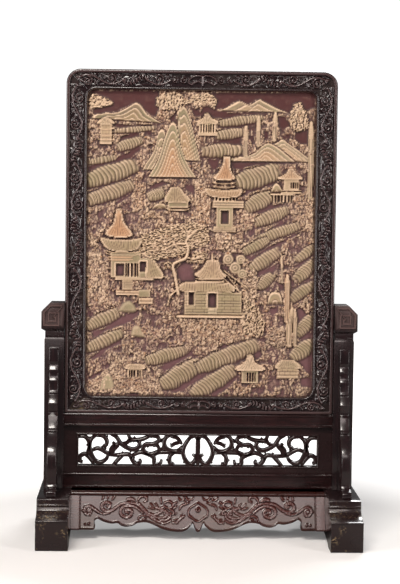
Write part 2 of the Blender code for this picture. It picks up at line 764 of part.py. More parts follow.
def build_stone_panel():
    """Build the slab with its carved landscape, one solid."""
    groove_reach = SLAB_GROOVE_DEPTH - GAP
    slab_outline = rounded_rectangle(
        -SIGHT_HALF_WIDTH - groove_reach, SIGHT_HALF_WIDTH + groove_reach,
        SIGHT_BOTTOM - groove_reach, SIGHT_TOP + groove_reach,
        SIGHT_RADIUS + groove_reach, SIGHT_RADIUS + groove_reach)
    forms = []
    hollows = []
    for settings in HILLS:
        forms += hill(*settings)
    for settings in BANKS:
        forms += bank(*settings)
    for settings in ROCKS + PINE_CLUMPS:
        forms += rock(*settings)
    for settings in COLUMNS:
        forms += column(*settings)
    for settings in PAVILIONS:
        built, opening = pavilion(*settings)
        forms += built
        hollows.append(opening)
    forms += stroke_relief(PINE_TRUNK, 0.030, 0.72)
    for branch in PINE_BRANCHES:
        forms += stroke_relief(branch, 0.018, 0.66)
    relief_area = rounded_rectangle(
        -SIGHT_HALF_WIDTH + RELIEF_MARGIN, SIGHT_HALF_WIDTH - RELIEF_MARGIN,
        SIGHT_BOTTOM + RELIEF_MARGIN, SIGHT_TOP - RELIEF_MARGIN,
        SIGHT_RADIUS - RELIEF_MARGIN, SIGHT_RADIUS - RELIEF_MARGIN)
    envelope = prism_y(relief_area, relief_y(LEVEL_LIMIT), SLAB_BACK - GAP)
    slab = prism_y(slab_outline, SLAB_FACE, SLAB_BACK)
    core = prism_y(relief_area, (SLAB_FACE + SLAB_BACK) / 2, SLAB_BACK + GAP)
    relief = keep(join(core, forms), envelope)
    finish(join(cut(relief, hollows), [slab]), "stone_panel", CARVED_STONE, 0.78)


# Stand

def post_level(z, outer, face, inner=None):
    """Return a post's rectangular loop at a height, inset at its outer side, faces and inner side."""
    left = POST_INNER + (outer if inner is None else inner)
    right = POST_OUTER - outer
    half = POST_DEPTH / 2 - face
    return [(left, -half, z), (right, -half, z), (right, half, z), (left, half, z)]


def fret_spiral():
    """Return the (x, z) line of the square spiral engraved on a finial."""
    low_x = POST_INNER + FRET_MARGIN
    high_x = POST_OUTER + FINIAL_OVERHANG - FINIAL_CHAMFER * 0.75
    low_z = FINIAL_BASE + FRET_MARGIN
    high_z = FINIAL_TOP - FRET_MARGIN * 1.2
    step_x = (high_x - low_x) / 5
    step_z = (high_z - low_z) / 5
    return [(low_x, low_z), (low_x, high_z), (high_x, high_z), (high_x, low_z + step_z),
            (low_x + 2 * step_x, low_z + step_z), (low_x + 2 * step_x, high_z - step_z * 1.5),
            (high_x - 1.6 * step_x, high_z - step_z * 1.5)]


def build_post(side, name):
    """Build one upright with its neck, finial, groove for the frame and tenon."""
    soft = POST_NECK_INSET
    finial_face = -FINIAL_OVERHANG / 2
    levels = (
        post_level(FOOT_HEIGHT + GAP, 0.0, 0.0),
        post_level(POST_SHOULDER - soft * 0.7, 0.0, 0.0),
        post_level(POST_SHOULDER - soft * 0.2, soft * 0.25, soft * 0.25),
        post_level(POST_SHOULDER, soft * 0.7, soft * 0.7),
        post_level(POST_SHOULDER + POST_NECK_HEIGHT * 0.2, soft, soft),
        post_level(FINIAL_BASE - POST_NECK_HEIGHT * 0.3, soft * 0.8, soft * 0.8),
        post_level(FINIAL_BASE, -FINIAL_OVERHANG, finial_face, 0.0),
        post_level(FINIAL_TOP - FINIAL_CHAMFER, -FINIAL_OVERHANG, finial_face, 0.0),
        post_level(FINIAL_TOP, FINIAL_CHAMFER - FINIAL_OVERHANG, finial_face, 0.0),
    )
    tenon_half = POST_TENON_WIDTH / 2
    tenon = block((POST_CENTRE - tenon_half, -tenon_half, FOOT_HEIGHT - POST_TENON_LENGTH),
                  (POST_CENTRE + tenon_half, tenon_half, FOOT_HEIGHT + POST_TENON_LENGTH))
    post = join(loft(levels), [tenon])
    groove_half = TONGUE_THICKNESS / 2 + GAP
    cutters = [block((POST_INNER - POST_WIDTH / 4, -groove_half, FRAME_BASE),
                     (POST_INNER + TONGUE_DEPTH, groove_half, FINIAL_TOP + FINIAL_HEIGHT))]
    for bottom, height in ((LOWER_RAIL_BOTTOM, LOWER_RAIL_HEIGHT), (UPPER_RAIL_BOTTOM, UPPER_RAIL_HEIGHT)):
        half = RAIL_TENON_THICKNESS / 2 + GAP
        cutters.append(block(
            (POST_INNER - POST_WIDTH / 4, -half, bottom + RAIL_TENON_MARGIN - GAP),
            (POST_INNER + RAIL_TENON_LENGTH + GAP, half, bottom + height - RAIL_TENON_MARGIN + GAP)))
    cutters.append(block(
        (POST_INNER - POST_WIDTH / 4, -OPENWORK_FACE - GAP, OPENWORK_BASE - OPENWORK_TONGUE),
        (POST_INNER + OPENWORK_TONGUE + GAP, OPENWORK_THICKNESS - OPENWORK_FACE + GAP,
         UPPER_RAIL_BOTTOM + OPENWORK_TONGUE)))
    line = fret_spiral()
    left, right = sides(line, [FRET_LINE / 2] * len(line))
    finial_y = POST_DEPTH / 2 + FINIAL_OVERHANG / 2
    cutters.append(prism_y(left + right[::-1], -finial_y - FRET_DEPTH, -finial_y + FRET_DEPTH))
    post = cut(post, cutters)
    if side < 0:
        mirror_x(post)
    finish_wood(post, name)


def mirror_x(item):
    """Turn an object into its mirror image across the middle of the screen."""
    form = bmesh.new()
    form.from_mesh(item.data)
    for vertex in form.verts:
        vertex.co.x = -vertex.co.x
    bmesh.ops.reverse_faces(form, faces=form.faces)
    form.to_mesh(item.data)
    form.free()


def spandrel_edge():
    """Return the (reach, height) points of a spandrel's turned front edge, from base to top.

    Each row gives a height and a reach as shares, and how far the edge bulges before it.
    """
    rows = (
        (0.000, 1.000, 0.0), (0.022, 1.000, 0.0), (0.044, 0.955, 0.02), (0.054, 0.760, 0.0),
        (0.072, 0.730, 0.0), (0.225, 0.790, 0.015), (0.340, 0.665, 0.035), (0.415, 0.420, -0.02),
        (0.440, 0.420, 0.035), (0.455, 0.385, 0.0), (0.530, 0.330, 0.0), (0.545, 0.260, 0.0),
        (0.575, 0.275, 0.0), (0.655, 0.250, 0.055), (0.675, 0.195, 0.0), (0.700, 0.195, 0.03),
        (0.752, 0.175, 0.0), (0.790, 0.152, 0.025), (0.826, 0.138, 0.0), (0.862, 0.124, 0.025),
        (0.880, 0.102, 0.0), (0.900, 0.140, 0.0), (1.000, 0.150, 0.0),
    )
    points = []
    for place, (height, reach, bulge) in enumerate(rows):
        if bulge:
            before = rows[place - 1]
            points.append((((before[1] + reach) / 2 + bulge) * SPANDREL_REACH,
                           (before[0] + height) / 2 * SPANDREL_HEIGHT))
        points.append((reach * SPANDREL_REACH, height * SPANDREL_HEIGHT))
    return points


def build_spandrel(side, end, name):
    """Build one baluster-shaped board; end is -1 at the front and 1 at the back."""
    back = POST_DEPTH / 2 + GAP
    base = FOOT_HEIGHT + GAP
    outline = [(end * back, base + SPANDREL_HEIGHT), (end * back, base)]
    outline += [(end * (back + reach), base + height) for reach, height in spandrel_edge()]
    low, high = sorted((side * (POST_CENTRE - SPANDREL_THICKNESS / 2),
                        side * (POST_CENTRE + SPANDREL_THICKNESS / 2)))
    finish_wood(prism_x(outline, low, high), name)


def foot_half_profile():
    """Return the (y, z) points of a foot's front half, from its top centre to its arch."""
    top = -FOOT_TOP_LENGTH / 2
    toe = -FOOT_LENGTH / 2
    lip = FOOT_HEIGHT - FOOT_EDGE_ROUND / 2 - FOOT_LIP_HEIGHT
    points = [(top + FOOT_LIP_HEIGHT, FOOT_HEIGHT), (top, FOOT_HEIGHT - FOOT_EDGE_ROUND / 2),
              (top, lip + FOOT_BEAD), (top - FOOT_BEAD / 2, lip + FOOT_BEAD * 0.8),
              (top - FOOT_BEAD / 2, lip), (top, lip - FOOT_BEAD / 4)]
    cove_run = top - toe - FOOT_BEAD
    cove_drop = lip - FOOT_BEAD / 4 - FOOT_BASE_HEIGHT
    for step in range(1, COVE_STEPS + 1):
        angle = math.pi / 2 * step / COVE_STEPS
        points.append((top - cove_run * (1 - math.cos(angle)),
                       lip - FOOT_BEAD / 4 - cove_drop * math.sin(angle)))
    block_face = toe + FOOT_BEAD / 2
    points += [(toe, FOOT_BASE_HEIGHT - FOOT_BEAD / 4), (toe, FOOT_BASE_HEIGHT - FOOT_BEAD),
               (block_face, FOOT_BASE_HEIGHT - FOOT_BEAD * 1.4), (block_face, FOOT_EDGE_ROUND),
               (block_face + FOOT_EDGE_ROUND * 0.3, FOOT_EDGE_ROUND * 0.3),
               (block_face + FOOT_EDGE_ROUND, 0.0)]
    for step in range(ARCH_STEPS // 2):
        angle = math.pi / 2 * step / (ARCH_STEPS // 2)
        points.append((-FOOT_ARCH_LENGTH / 2 * math.cos(angle), FOOT_ARCH_HEIGHT * math.sin(angle)))
    return points


def build_foot(side, name):
    """Build one stepped sledge foot, with a mortise for its post."""
    front = foot_half_profile()
    crown = [(0.0, FOOT_ARCH_HEIGHT)]
    outline = front + crown + [(-y, z) for y, z in reversed(front)]
    low, high = sorted((side * FOOT_INNER, side * FOOT_OUTER))
    half = POST_TENON_WIDTH / 2 + GAP
    centre = side * POST_CENTRE
    mortise = block((centre - half, -half, FOOT_HEIGHT - POST_TENON_LENGTH - GAP),
                    (centre + half, half, FOOT_HEIGHT + POST_TENON_LENGTH))
    finish_wood(cut(prism_x(outline, low, high), [mortise]), name)


def build_rail(bottom, height, name, groove_below, groove_above):
    """Build one cross rail with beaded faces, end tenons and grooves for the openwork."""
    face = RAIL_DEPTH / 2
    sink = RAIL_BEAD / 3
    front = [(-face + sink / 2, bottom), (-face, bottom + sink), (-face, bottom + RAIL_BEAD),
             (-face + sink, bottom + RAIL_BEAD + sink), (-face + sink * 0.2, bottom + height / 2),
             (-face + sink, bottom + height - RAIL_BEAD - sink), (-face, bottom + height - RAIL_BEAD),
             (-face, bottom + height - sink), (-face + sink / 2, bottom + height)]
    outline = front + [(-y, z) for y, z in reversed(front)]
    half = POST_INNER - GAP
    tenon = block((-half - RAIL_TENON_LENGTH, -RAIL_TENON_THICKNESS / 2, bottom + RAIL_TENON_MARGIN),
                  (half + RAIL_TENON_LENGTH, RAIL_TENON_THICKNESS / 2, bottom + height - RAIL_TENON_MARGIN))
    rail = join(prism_x(outline, -half, half), [tenon])
    reach = POST_INNER + OPENWORK_TONGUE + GAP
    front_wall = -OPENWORK_FACE - GAP
    back_wall = OPENWORK_THICKNESS - OPENWORK_FACE + GAP
    grooves = []
    if groove_below:
        grooves.append(block((-reach, front_wall, bottom - height),
                             (reach, back_wall, bottom + OPENWORK_TONGUE)))
    if groove_above:
        grooves.append(block((-reach, front_wall, bottom + height - OPENWORK_TONGUE),
                             (reach, back_wall, bottom + height * 2)))
    finish_wood(cut(rail, grooves), name)


# Scrolls of the openwork: places across its opening, from the middle (0) to the end (1),
# and up it, from the bottom (0) to the top (1). Each is drawn again on the other side.
OPENWORK_SCROLLS = (
    ((0.871, 0.02), (0.910, 0.25), (0.960, 0.33), (0.970, 0.08)),
    ((1.010, 0.93), (0.950, 0.93), (0.912, 0.70), (0.925, 0.24)),
    ((0.840, 1.02), (0.892, 0.85), (0.908, 0.60), (0.892, 0.32), (0.840, 0.09), (0.775, 0.17), (0.750, 0.37)),
    ((0.850, 0.97), (0.790, 0.93), (0.764, 0.76), (0.795, 0.62)),
    ((0.895, 0.46), (0.835, 0.54), (0.765, 0.40), (0.710, 0.46)),
    ((0.730, 1.02), (0.684, 0.92), (0.649, 0.72), (0.590, 0.56), (0.525, 0.53), (0.490, 0.70), (0.520, 0.82)),
    ((0.590, 0.88), (0.520, 0.82), (0.440, 0.89), (0.390, 1.02)),
    ((0.400, 0.97), (0.340, 0.92), (0.335, 0.76), (0.430, 0.68), (0.458, 0.50), (0.400, 0.36), (0.325, 0.47),
     (0.265, 0.52)),
    ((0.215, 1.02), (0.275, 0.88), (0.270, 0.58), (0.195, 0.46), (0.132, 0.65)),
    ((0.230, 0.95), (0.175, 0.90), (0.135, 0.66)),
    ((0.137, 0.74), (0.197, 0.71), (0.228, 0.60)),
    ((0.044, 1.02), (0.095, 0.77), (0.124, 0.50), (0.110, 0.21), (0.070, 0.05), (0.030, 0.12), (0.030, 0.34)),
    ((0.757, 0.34), (0.684, 0.32), (0.573, 0.34), (0.535, 0.07), (0.485, 0.14)),
    ((0.710, -0.02), (0.663, 0.19), (0.621, 0.35)),
    ((0.566, 0.20), (0.520, 0.38), (0.440, 0.40), (0.370, 0.22), (0.355, 0.03), (0.304, 0.14)),
    ((0.382, 0.28), (0.325, 0.42), (0.204, 0.43), (0.118, 0.40)),
    ((0.200, 0.42), (0.236, 0.28), (0.225, 0.03)),
)
OPENWORK_HEART = ((0.060, 0.92), (0.022, 0.98), (0.0, 0.80), (-0.022, 0.98), (-0.060, 0.92))
OPENWORK_STEM = ((0.0, 1.02), (0.0, 0.60), (0.0, -0.02))
OPENWORK_BUD = ((0.722, 0.34), (0.735, 0.52), (0.655, 0.69), (0.665, 0.46))


def build_openwork():
    """Build the pierced board: a border with scrolls that reach across its opening."""
    outer_x = POST_INNER + OPENWORK_TONGUE - GAP
    low = OPENWORK_BASE - OPENWORK_TONGUE + GAP
    high = UPPER_RAIL_BOTTOM + OPENWORK_TONGUE - GAP
    half = POST_INNER - OPENWORK_SIDE
    bottom = OPENWORK_BASE + OPENWORK_BOTTOM
    top = UPPER_RAIL_BOTTOM - OPENWORK_TOP
    front = -OPENWORK_FACE
    back = OPENWORK_THICKNESS - OPENWORK_FACE
    line = OPENWORK_LINE / 3

    def border(grow, y):
        """Return a rectangular loop that stands off from the opening."""
        return [(-half - grow, y, bottom - grow), (half + grow, y, bottom - grow),
                (half + grow, y, top + grow), (-half - grow, y, top + grow)]

    def board(y):
        """Return the loop of the board's outer edge."""
        return [(-outer_x, y, low), (outer_x, y, low), (outer_x, y, high), (-outer_x, y, high)]

    rim = loft([board(front + line), border(OPENWORK_LINE, front + line), border(OPENWORK_LINE - line, front),
                border(line, front), border(0.0, front + line), border(0.0, back), board(back)], closed=True)

    def place(points):
        """Return places in the opening from shares across and up it."""
        return [(half * x, bottom + (top - bottom) * z) for x, z in points]

    strokes = []
    face = front + line
    rear = back - line
    for stroke in OPENWORK_SCROLLS:
        points = place(stroke)
        for line_points in (points, mirrored(points)):
            strokes.append(ribbon(line_points, SCROLL_WIDTH, face, rear, 0.5))
    strokes.append(ribbon(place(OPENWORK_HEART), SCROLL_WIDTH, face, rear))
    strokes.append(ribbon(place(OPENWORK_STEM), SCROLL_WIDTH, face, rear, 0.9))
    bud = place(OPENWORK_BUD)
    for outline in (bud, mirrored(bud)):
        strokes.append(prism_y(outline, face, rear))
    finish_wood(join(rim, strokes), "openwork_panel")


# Lower edge of an apron, from its middle to its end: a share of the half width, and a share of
# the drop from the lip to the lowest point.
APRON_EDGE = (
    (0.000, 1.000), (0.020, 0.840), (0.042, 0.710), (0.057, 0.810), (0.093, 0.916), (0.138, 0.956),
    (0.218, 0.936), (0.289, 0.872), (0.360, 0.750), (0.414, 0.710), (0.476, 0.734), (0.512, 0.810),
    (0.565, 0.832), (0.610, 0.794), (0.632, 0.734), (0.680, 0.744), (0.743, 0.690), (0.787, 0.624),
    (0.814, 0.674), (0.814, 0.734), (0.792, 0.810), (0.814, 0.916), (1.000, 0.916),
)
# Carved strokes of an apron, in the same shares
APRON_STROKES = (
    ((0.955, 0.62), (0.905, 0.66), (0.895, 0.40), (0.920, 0.28), (0.820, 0.36), (0.770, 0.55)),
    ((0.600, 0.36), (0.700, 0.48), (0.785, 0.42), (0.760, 0.14), (0.700, 0.28)),
    ((0.600, 0.72), (0.640, 0.40), (0.550, 0.24), (0.450, 0.30), (0.370, 0.60), (0.270, 0.80)),
    ((0.580, 0.52), (0.550, 0.68), (0.505, 0.55), (0.550, 0.44)),
    ((0.490, 0.20), (0.450, 0.06), (0.400, 0.12), (0.420, 0.24)),
    ((0.400, 0.34), (0.330, 0.46), (0.270, 0.30), (0.200, 0.40)),
    ((0.270, 0.60), (0.210, 0.56), (0.160, 0.76), (0.120, 0.66)),
    ((0.160, 0.08), (0.120, 0.22), (0.080, 0.08)),
    ((0.070, 0.70), (0.108, 0.50), (0.070, 0.30), (0.000, 0.22)),
)


def apron_places():
    """Return the half width, lip underside and drop of an apron."""
    half = FOOT_INNER - GAP
    under = FOOT_HEIGHT - APRON_LIP_HEIGHT
    return half, under, under - APRON_FLOOR_GAP


def lean(item, under, end):
    """Shear a board so that its lower edge stands outward of its lip, and turn it to its end."""
    form = bmesh.new()
    form.from_mesh(item.data)
    for vertex in form.verts:
        if vertex.co.z < under:
            vertex.co.y -= (under - vertex.co.z) * APRON_LEAN
        if end > 0:
            vertex.co.y = -vertex.co.y
    if end > 0:
        bmesh.ops.reverse_faces(form, faces=form.faces)
    form.to_mesh(item.data)
    form.free()


def build_apron(end, name):
    """Build one slanting apron: end is -1 at the front, carved, and 1 at the back, plain."""
    half, under, drop = apron_places()
    front = -APRON_LIP_REACH + APRON_THICKNESS * 0.25
    edge = [(half * x, under - drop * z) for x, z in APRON_EDGE]
    outline = [(half, under + APRON_LIP_HEIGHT / 2), (-half, under + APRON_LIP_HEIGHT / 2)]
    outline += mirrored(edge[::-1])[:-1] + edge
    board = prism_y(outline, front, front + APRON_THICKNESS)
    lip_round = APRON_LIP_HEIGHT / 4
    lip_outline = [(-APRON_LIP_BACK, under), (-APRON_LIP_REACH + lip_round, under),
                   (-APRON_LIP_REACH, under + lip_round), (-APRON_LIP_REACH, FOOT_HEIGHT - lip_round),
                   (-APRON_LIP_REACH + lip_round, FOOT_HEIGHT), (-APRON_LIP_BACK, FOOT_HEIGHT)]
    added = [prism_x(lip_outline, -half, half)]
    for side in (-1, 1):
        inner, outer = sorted((side * (half - APRON_END_STRIP), side * half))
        low = under - drop * APRON_EDGE[-1][1]
        added.append(block((inner, front - APRON_STRIP_RISE, low),
                           (outer, front + APRON_THICKNESS / 2, under)))
    if end < 0:
        for number, stroke in enumerate(APRON_STROKES):
            height = APRON_CARVING_HEIGHT * (1.0 - 0.08 * (number % 4))
            points = [(half * x, under - drop * z) for x, z in stroke]
            for line_points in (points, mirrored(points)):
                added.append(ridge(line_points, SCROLL_WIDTH * 0.8, front, height))
    apron = join(board, added)
    lean(apron, under, end)
    finish_wood(apron, name)


def clear_scene():
    """Remove every object of the scene."""
    for item in list(bpy.data.objects):
        bpy.data.objects.remove(item)


def main():
    """Build every piece of the screen."""
    clear_scene()
    build_stone_panel()
    build_frame()
    for side, hand in ((-1, "left"), (1, "right")):
        build_post(side, "post_" + hand)
        build_foot(side, "foot_" + hand)
        build_spandrel(side, -1, "spandrel_" + hand + "_front")
        build_spandrel(side, 1, "spandrel_" + hand + "_back")
    build_rail(LOWER_RAIL_BOTTOM, LOWER_RAIL_HEIGHT, "lower_rail", False, True)
    build_rail(UPPER_RAIL_BOTTOM, UPPER_RAIL_HEIGHT, "upper_rail", True, False)
    build_openwork()
    build_apron(-1, "apron_front")
    build_apron(1, "apron_back")


main()
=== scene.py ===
"""Dressed model of a stone table screen.

A panel of layered stone, carved as a landscape, stands in a carved rosewood frame. The frame rests
between the posts of a rosewood stand with rails, an openwork board, aprons and stepped feet.

Sizes are millimetres in the object's frame (X across, -Y the front, Z up), and become metres when
a mesh is made. Places in the landscape are thousandths of the panel: x from -500 to 500 and z from
0 to 1000.
"""

import logging
import math
from collections.abc import Callable, Iterable, Sequence
from dataclasses import dataclass, field
from enum import Enum
from functools import partial

import bmesh
import bpy
import numpy as np
from bpy.types import ID, Material, Node, NodeSocket, NodeTree, Object
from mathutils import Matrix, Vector


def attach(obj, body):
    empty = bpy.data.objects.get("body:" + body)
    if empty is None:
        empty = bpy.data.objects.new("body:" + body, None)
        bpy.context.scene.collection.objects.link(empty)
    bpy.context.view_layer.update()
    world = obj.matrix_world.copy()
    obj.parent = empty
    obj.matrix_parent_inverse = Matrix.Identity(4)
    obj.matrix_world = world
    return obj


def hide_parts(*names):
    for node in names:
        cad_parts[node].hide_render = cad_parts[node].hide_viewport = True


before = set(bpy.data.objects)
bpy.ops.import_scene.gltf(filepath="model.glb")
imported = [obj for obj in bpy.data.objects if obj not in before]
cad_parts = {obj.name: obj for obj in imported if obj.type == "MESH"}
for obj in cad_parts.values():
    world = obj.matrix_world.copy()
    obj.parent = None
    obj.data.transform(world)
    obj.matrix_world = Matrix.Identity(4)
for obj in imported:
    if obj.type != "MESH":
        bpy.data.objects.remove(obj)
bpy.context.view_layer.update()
LOG = logging.getLogger("table_screen")

Array = np.ndarray
Point = tuple[float, float]
Line = Sequence[Point]
Numbers = Sequence[float]
MM = 0.001
BODY = "root"


# Colours and nodes

def linear(hex_colour: str) -> tuple[float, float, float, float]:
    """Turn an sRGB hex colour into linear red, green, blue and alpha."""
    shares = [int(hex_colour[place:place + 2], 16) / 255 for place in (1, 3, 5)]
    return (*(c / 12.92 if c <= 0.04045 else ((c + 0.055) / 1.055) ** 2.4 for c in shares), 1.0)


def add_node(tree: NodeTree, kind: str, settings: dict | None = None, links: dict | None = None) -> Node:
    """Add a node with its settings and links.

    Args:
        tree: the node tree it goes into.
        kind: the node's type name.
        settings: values by the name of a property, or by the name or place of an input.
        links: sockets by the name or place of the input that they feed.

    Returns:
        The new node.
    """
    node = tree.nodes.new(kind)
    for name, value in (settings or {}).items():
        if isinstance(name, str) and hasattr(node, name):
            setattr(node, name, value)
        else:
            node.inputs[name].default_value = value
    for name, socket in (links or {}).items():
        tree.links.new(socket, node.inputs[name])
    return node


def blank_material(name: str) -> tuple[Material, partial, Node]:
    """Return a new material, a function that adds nodes to it, and its shader.

    Args:
        name: the material's name.

    Returns:
        The material, the function and the shader.
    """
    made = bpy.data.materials.new(name)
    made.use_nodes = True
    return made, partial(add_node, made.node_tree), made.node_tree.nodes["Principled BSDF"]


def connect(links: Sequence[tuple[NodeSocket, NodeSocket]]) -> None:
    """Link pairs of sockets, each from an output to an input."""
    for source, target in links:
        target.id_data.links.new(source, target)


def geometry_tree(name: str, kind: str, *inputs: str) -> NodeTree:
    """Return a new geometry node tree with named inputs of a kind.

    Args:
        name: the tree's name.
        kind: the socket type of the inputs.
        inputs: their names.

    Returns:
        The tree.
    """
    tree = bpy.data.node_groups.new(name, "GeometryNodeTree")
    tree.interface.new_socket("Geometry", in_out="INPUT", socket_type="NodeSocketGeometry")
    for title in inputs:
        tree.interface.new_socket(title, in_out="INPUT", socket_type=kind)
    tree.interface.new_socket("Geometry", in_out="OUTPUT", socket_type="NodeSocketGeometry")
    return tree


def run_tree(item: Object, tree: NodeTree, settings: dict[str, float]) -> None:
    """Add a modifier that runs a tree, with its inputs set by the identifiers of their names.

    Args:
        item: the object.
        tree: the tree.
        settings: values by the name of an input.
    """
    modifier = item.modifiers.new(tree.name, "NODES")
    modifier.node_group = tree
    for socket in tree.interface.items_tree:
        if socket.name in settings:
            modifier[socket.identifier] = settings[socket.name]


class Grain(Enum):
    """The way that the wood's fibres run in a piece."""

    ALONG_X = (1.0, 14.0, 14.0)
    ALONG_Y = (14.0, 1.0, 14.0)
    ALONG_Z = (14.0, 14.0, 1.0)


@dataclass(frozen=True)
class Rosewood:
    """Oiled and waxed dark rosewood: near black with a red-purple cast, and a satin polish.

    Fibres give fine dark streaks, recesses keep a little dust, and raised edges are worn redder; that lighter
    colour is also a painted highlight.
    """

    grain: Grain
    body: str = "#150B0D"
    streak: str = "#2C1719"
    rubbed: str = "#3A2220"
    dust: str = "#75634C"
    dust_share: float = 0.1
    roughness: float = 0.22
    streak_mm: float = 1.6
    dust_patches: tuple[float, float] = (0.45, 0.7)
    scuffs: bool = False

    def scuffed(self, add: partial, colour: NodeSocket) -> NodeSocket:
        """Add pale knocks low on the front and back ends.

        Args:
            add: the function that adds nodes to the material.
            colour: the wood's colour.

        Returns:
            The marked colour.
        """
        place = add("ShaderNodeTexCoord").outputs["Object"]
        knocks = add("ShaderNodeTexNoise", {"Scale": 330.0, "Detail": 4.0, "Roughness": 0.75},
            {"Vector": place}).outputs["Fac"]
        areas = add("ShaderNodeTexNoise", {"Scale": 34.0, "Detail": 1.0},
            {"Vector": place}).outputs["Fac"]
        chips = add("ShaderNodeMapRange", {"From Min": 0.55, "From Max": 0.61, "To Max": 0.85},
            {"Value": knocks}).outputs[0]
        where = add("ShaderNodeMapRange", {"From Min": 0.46, "From Max": 0.56},
            {"Value": areas}).outputs[0]
        parts = add("ShaderNodeSeparateXYZ", {}, {0: place}).outputs
        reach = add("ShaderNodeMath", {"operation": "ABSOLUTE"}, {0: parts[1]}).outputs[0]
        ends = add("ShaderNodeMapRange", {"From Min": 0.095, "From Max": 0.115},
            {"Value": reach}).outputs[0]
        share = add("ShaderNodeMath", {"operation": "MULTIPLY"}, {0: chips, 1: where}).outputs[0]
        kept = add("ShaderNodeMath", {"operation": "MULTIPLY"}, {0: share, 1: ends}).outputs[0]
        return add("ShaderNodeMix", {"data_type": "RGBA", 7: linear("#A58F6C")},
            {0: kept, 6: colour}).outputs[2]

    def material(self) -> Material:
        """Build the material.

        Returns:
            The material.
        """
        made, add, shader = blank_material(f"rosewood_{self.grain.name.lower()}_{self.body[1:].lower()}")
        place = add("ShaderNodeTexCoord").outputs["Object"]
        stretched = add("ShaderNodeMapping", {"Scale": self.grain.value}, {"Vector": place})
        fibres = add("ShaderNodeTexNoise", {"Scale": 1 / (self.streak_mm * MM * 14), "Detail": 6.0,
            "Roughness": 0.62, "Distortion": 0.4}, {"Vector": stretched.outputs[0]}).outputs["Fac"]
        cloud = add("ShaderNodeTexNoise", {"Scale": 26.0, "Detail": 3.0},
            {"Vector": place}).outputs["Fac"]
        streaks = add("ShaderNodeMapRange", {"From Min": 0.42, "From Max": 0.72},
            {"Value": fibres}).outputs[0]
        wood = add("ShaderNodeMix", {"data_type": "RGBA", 6: linear(self.body),
            7: linear(self.streak)}, {0: streaks}).outputs[2]
        # Raised edges and carving tops are mixed toward a lighter, redder colour: partly wear, partly a painted
        # highlight.
        worn_and_highlight_mask = add("ShaderNodeAttribute", {"attribute_name": "rubbed"}).outputs["Fac"]
        worn_and_highlight_share = add("ShaderNodeMath", {"operation": "MULTIPLY", 1: 0.75}, {0: worn_and_highlight_mask}).outputs[0]
        rubbed = add("ShaderNodeMix", {"data_type": "RGBA", 7: linear(self.rubbed)},
            {0: worn_and_highlight_share, 6: wood}).outputs[2]
        recess = add("ShaderNodeAttribute", {"attribute_name": "recess"}).outputs["Fac"]
        patches = add("ShaderNodeMapRange", {"From Min": self.dust_patches[0],
            "From Max": self.dust_patches[1], "To Max": self.dust_share}, {"Value": cloud}).outputs[0]
        dusty = add("ShaderNodeMath", {"operation": "MULTIPLY"}, {0: recess, 1: patches}).outputs[0]
        colour = add("ShaderNodeMix", {"data_type": "RGBA", 7: linear(self.dust)},
            {0: dusty, 6: rubbed}).outputs[2]
        gloss = add("ShaderNodeMapRange", {"From Min": 0.3, "From Max": 0.7,
            "To Min": self.roughness - 0.05, "To Max": self.roughness + 0.1}, {"Value": cloud}).outputs[0]
        dull = add("ShaderNodeMath", {"operation": "ADD"}, {0: gloss, 1: dusty}).outputs[0]
        pores = add("ShaderNodeBump", {"Strength": 0.25, "Distance": 0.0002},
            {"Height": fibres}).outputs[0]
        if self.scuffs:
            colour = self.scuffed(add, colour)
        connect([(colour, shader.inputs["Base Color"]), (dull, shader.inputs["Roughness"]),
            (pores, shader.inputs["Normal"])])
        shader.inputs["IOR"].default_value = 1.5
        shader.inputs["Coat Weight"].default_value = 0.9
        shader.inputs["Coat Roughness"].default_value = 0.15
        return made


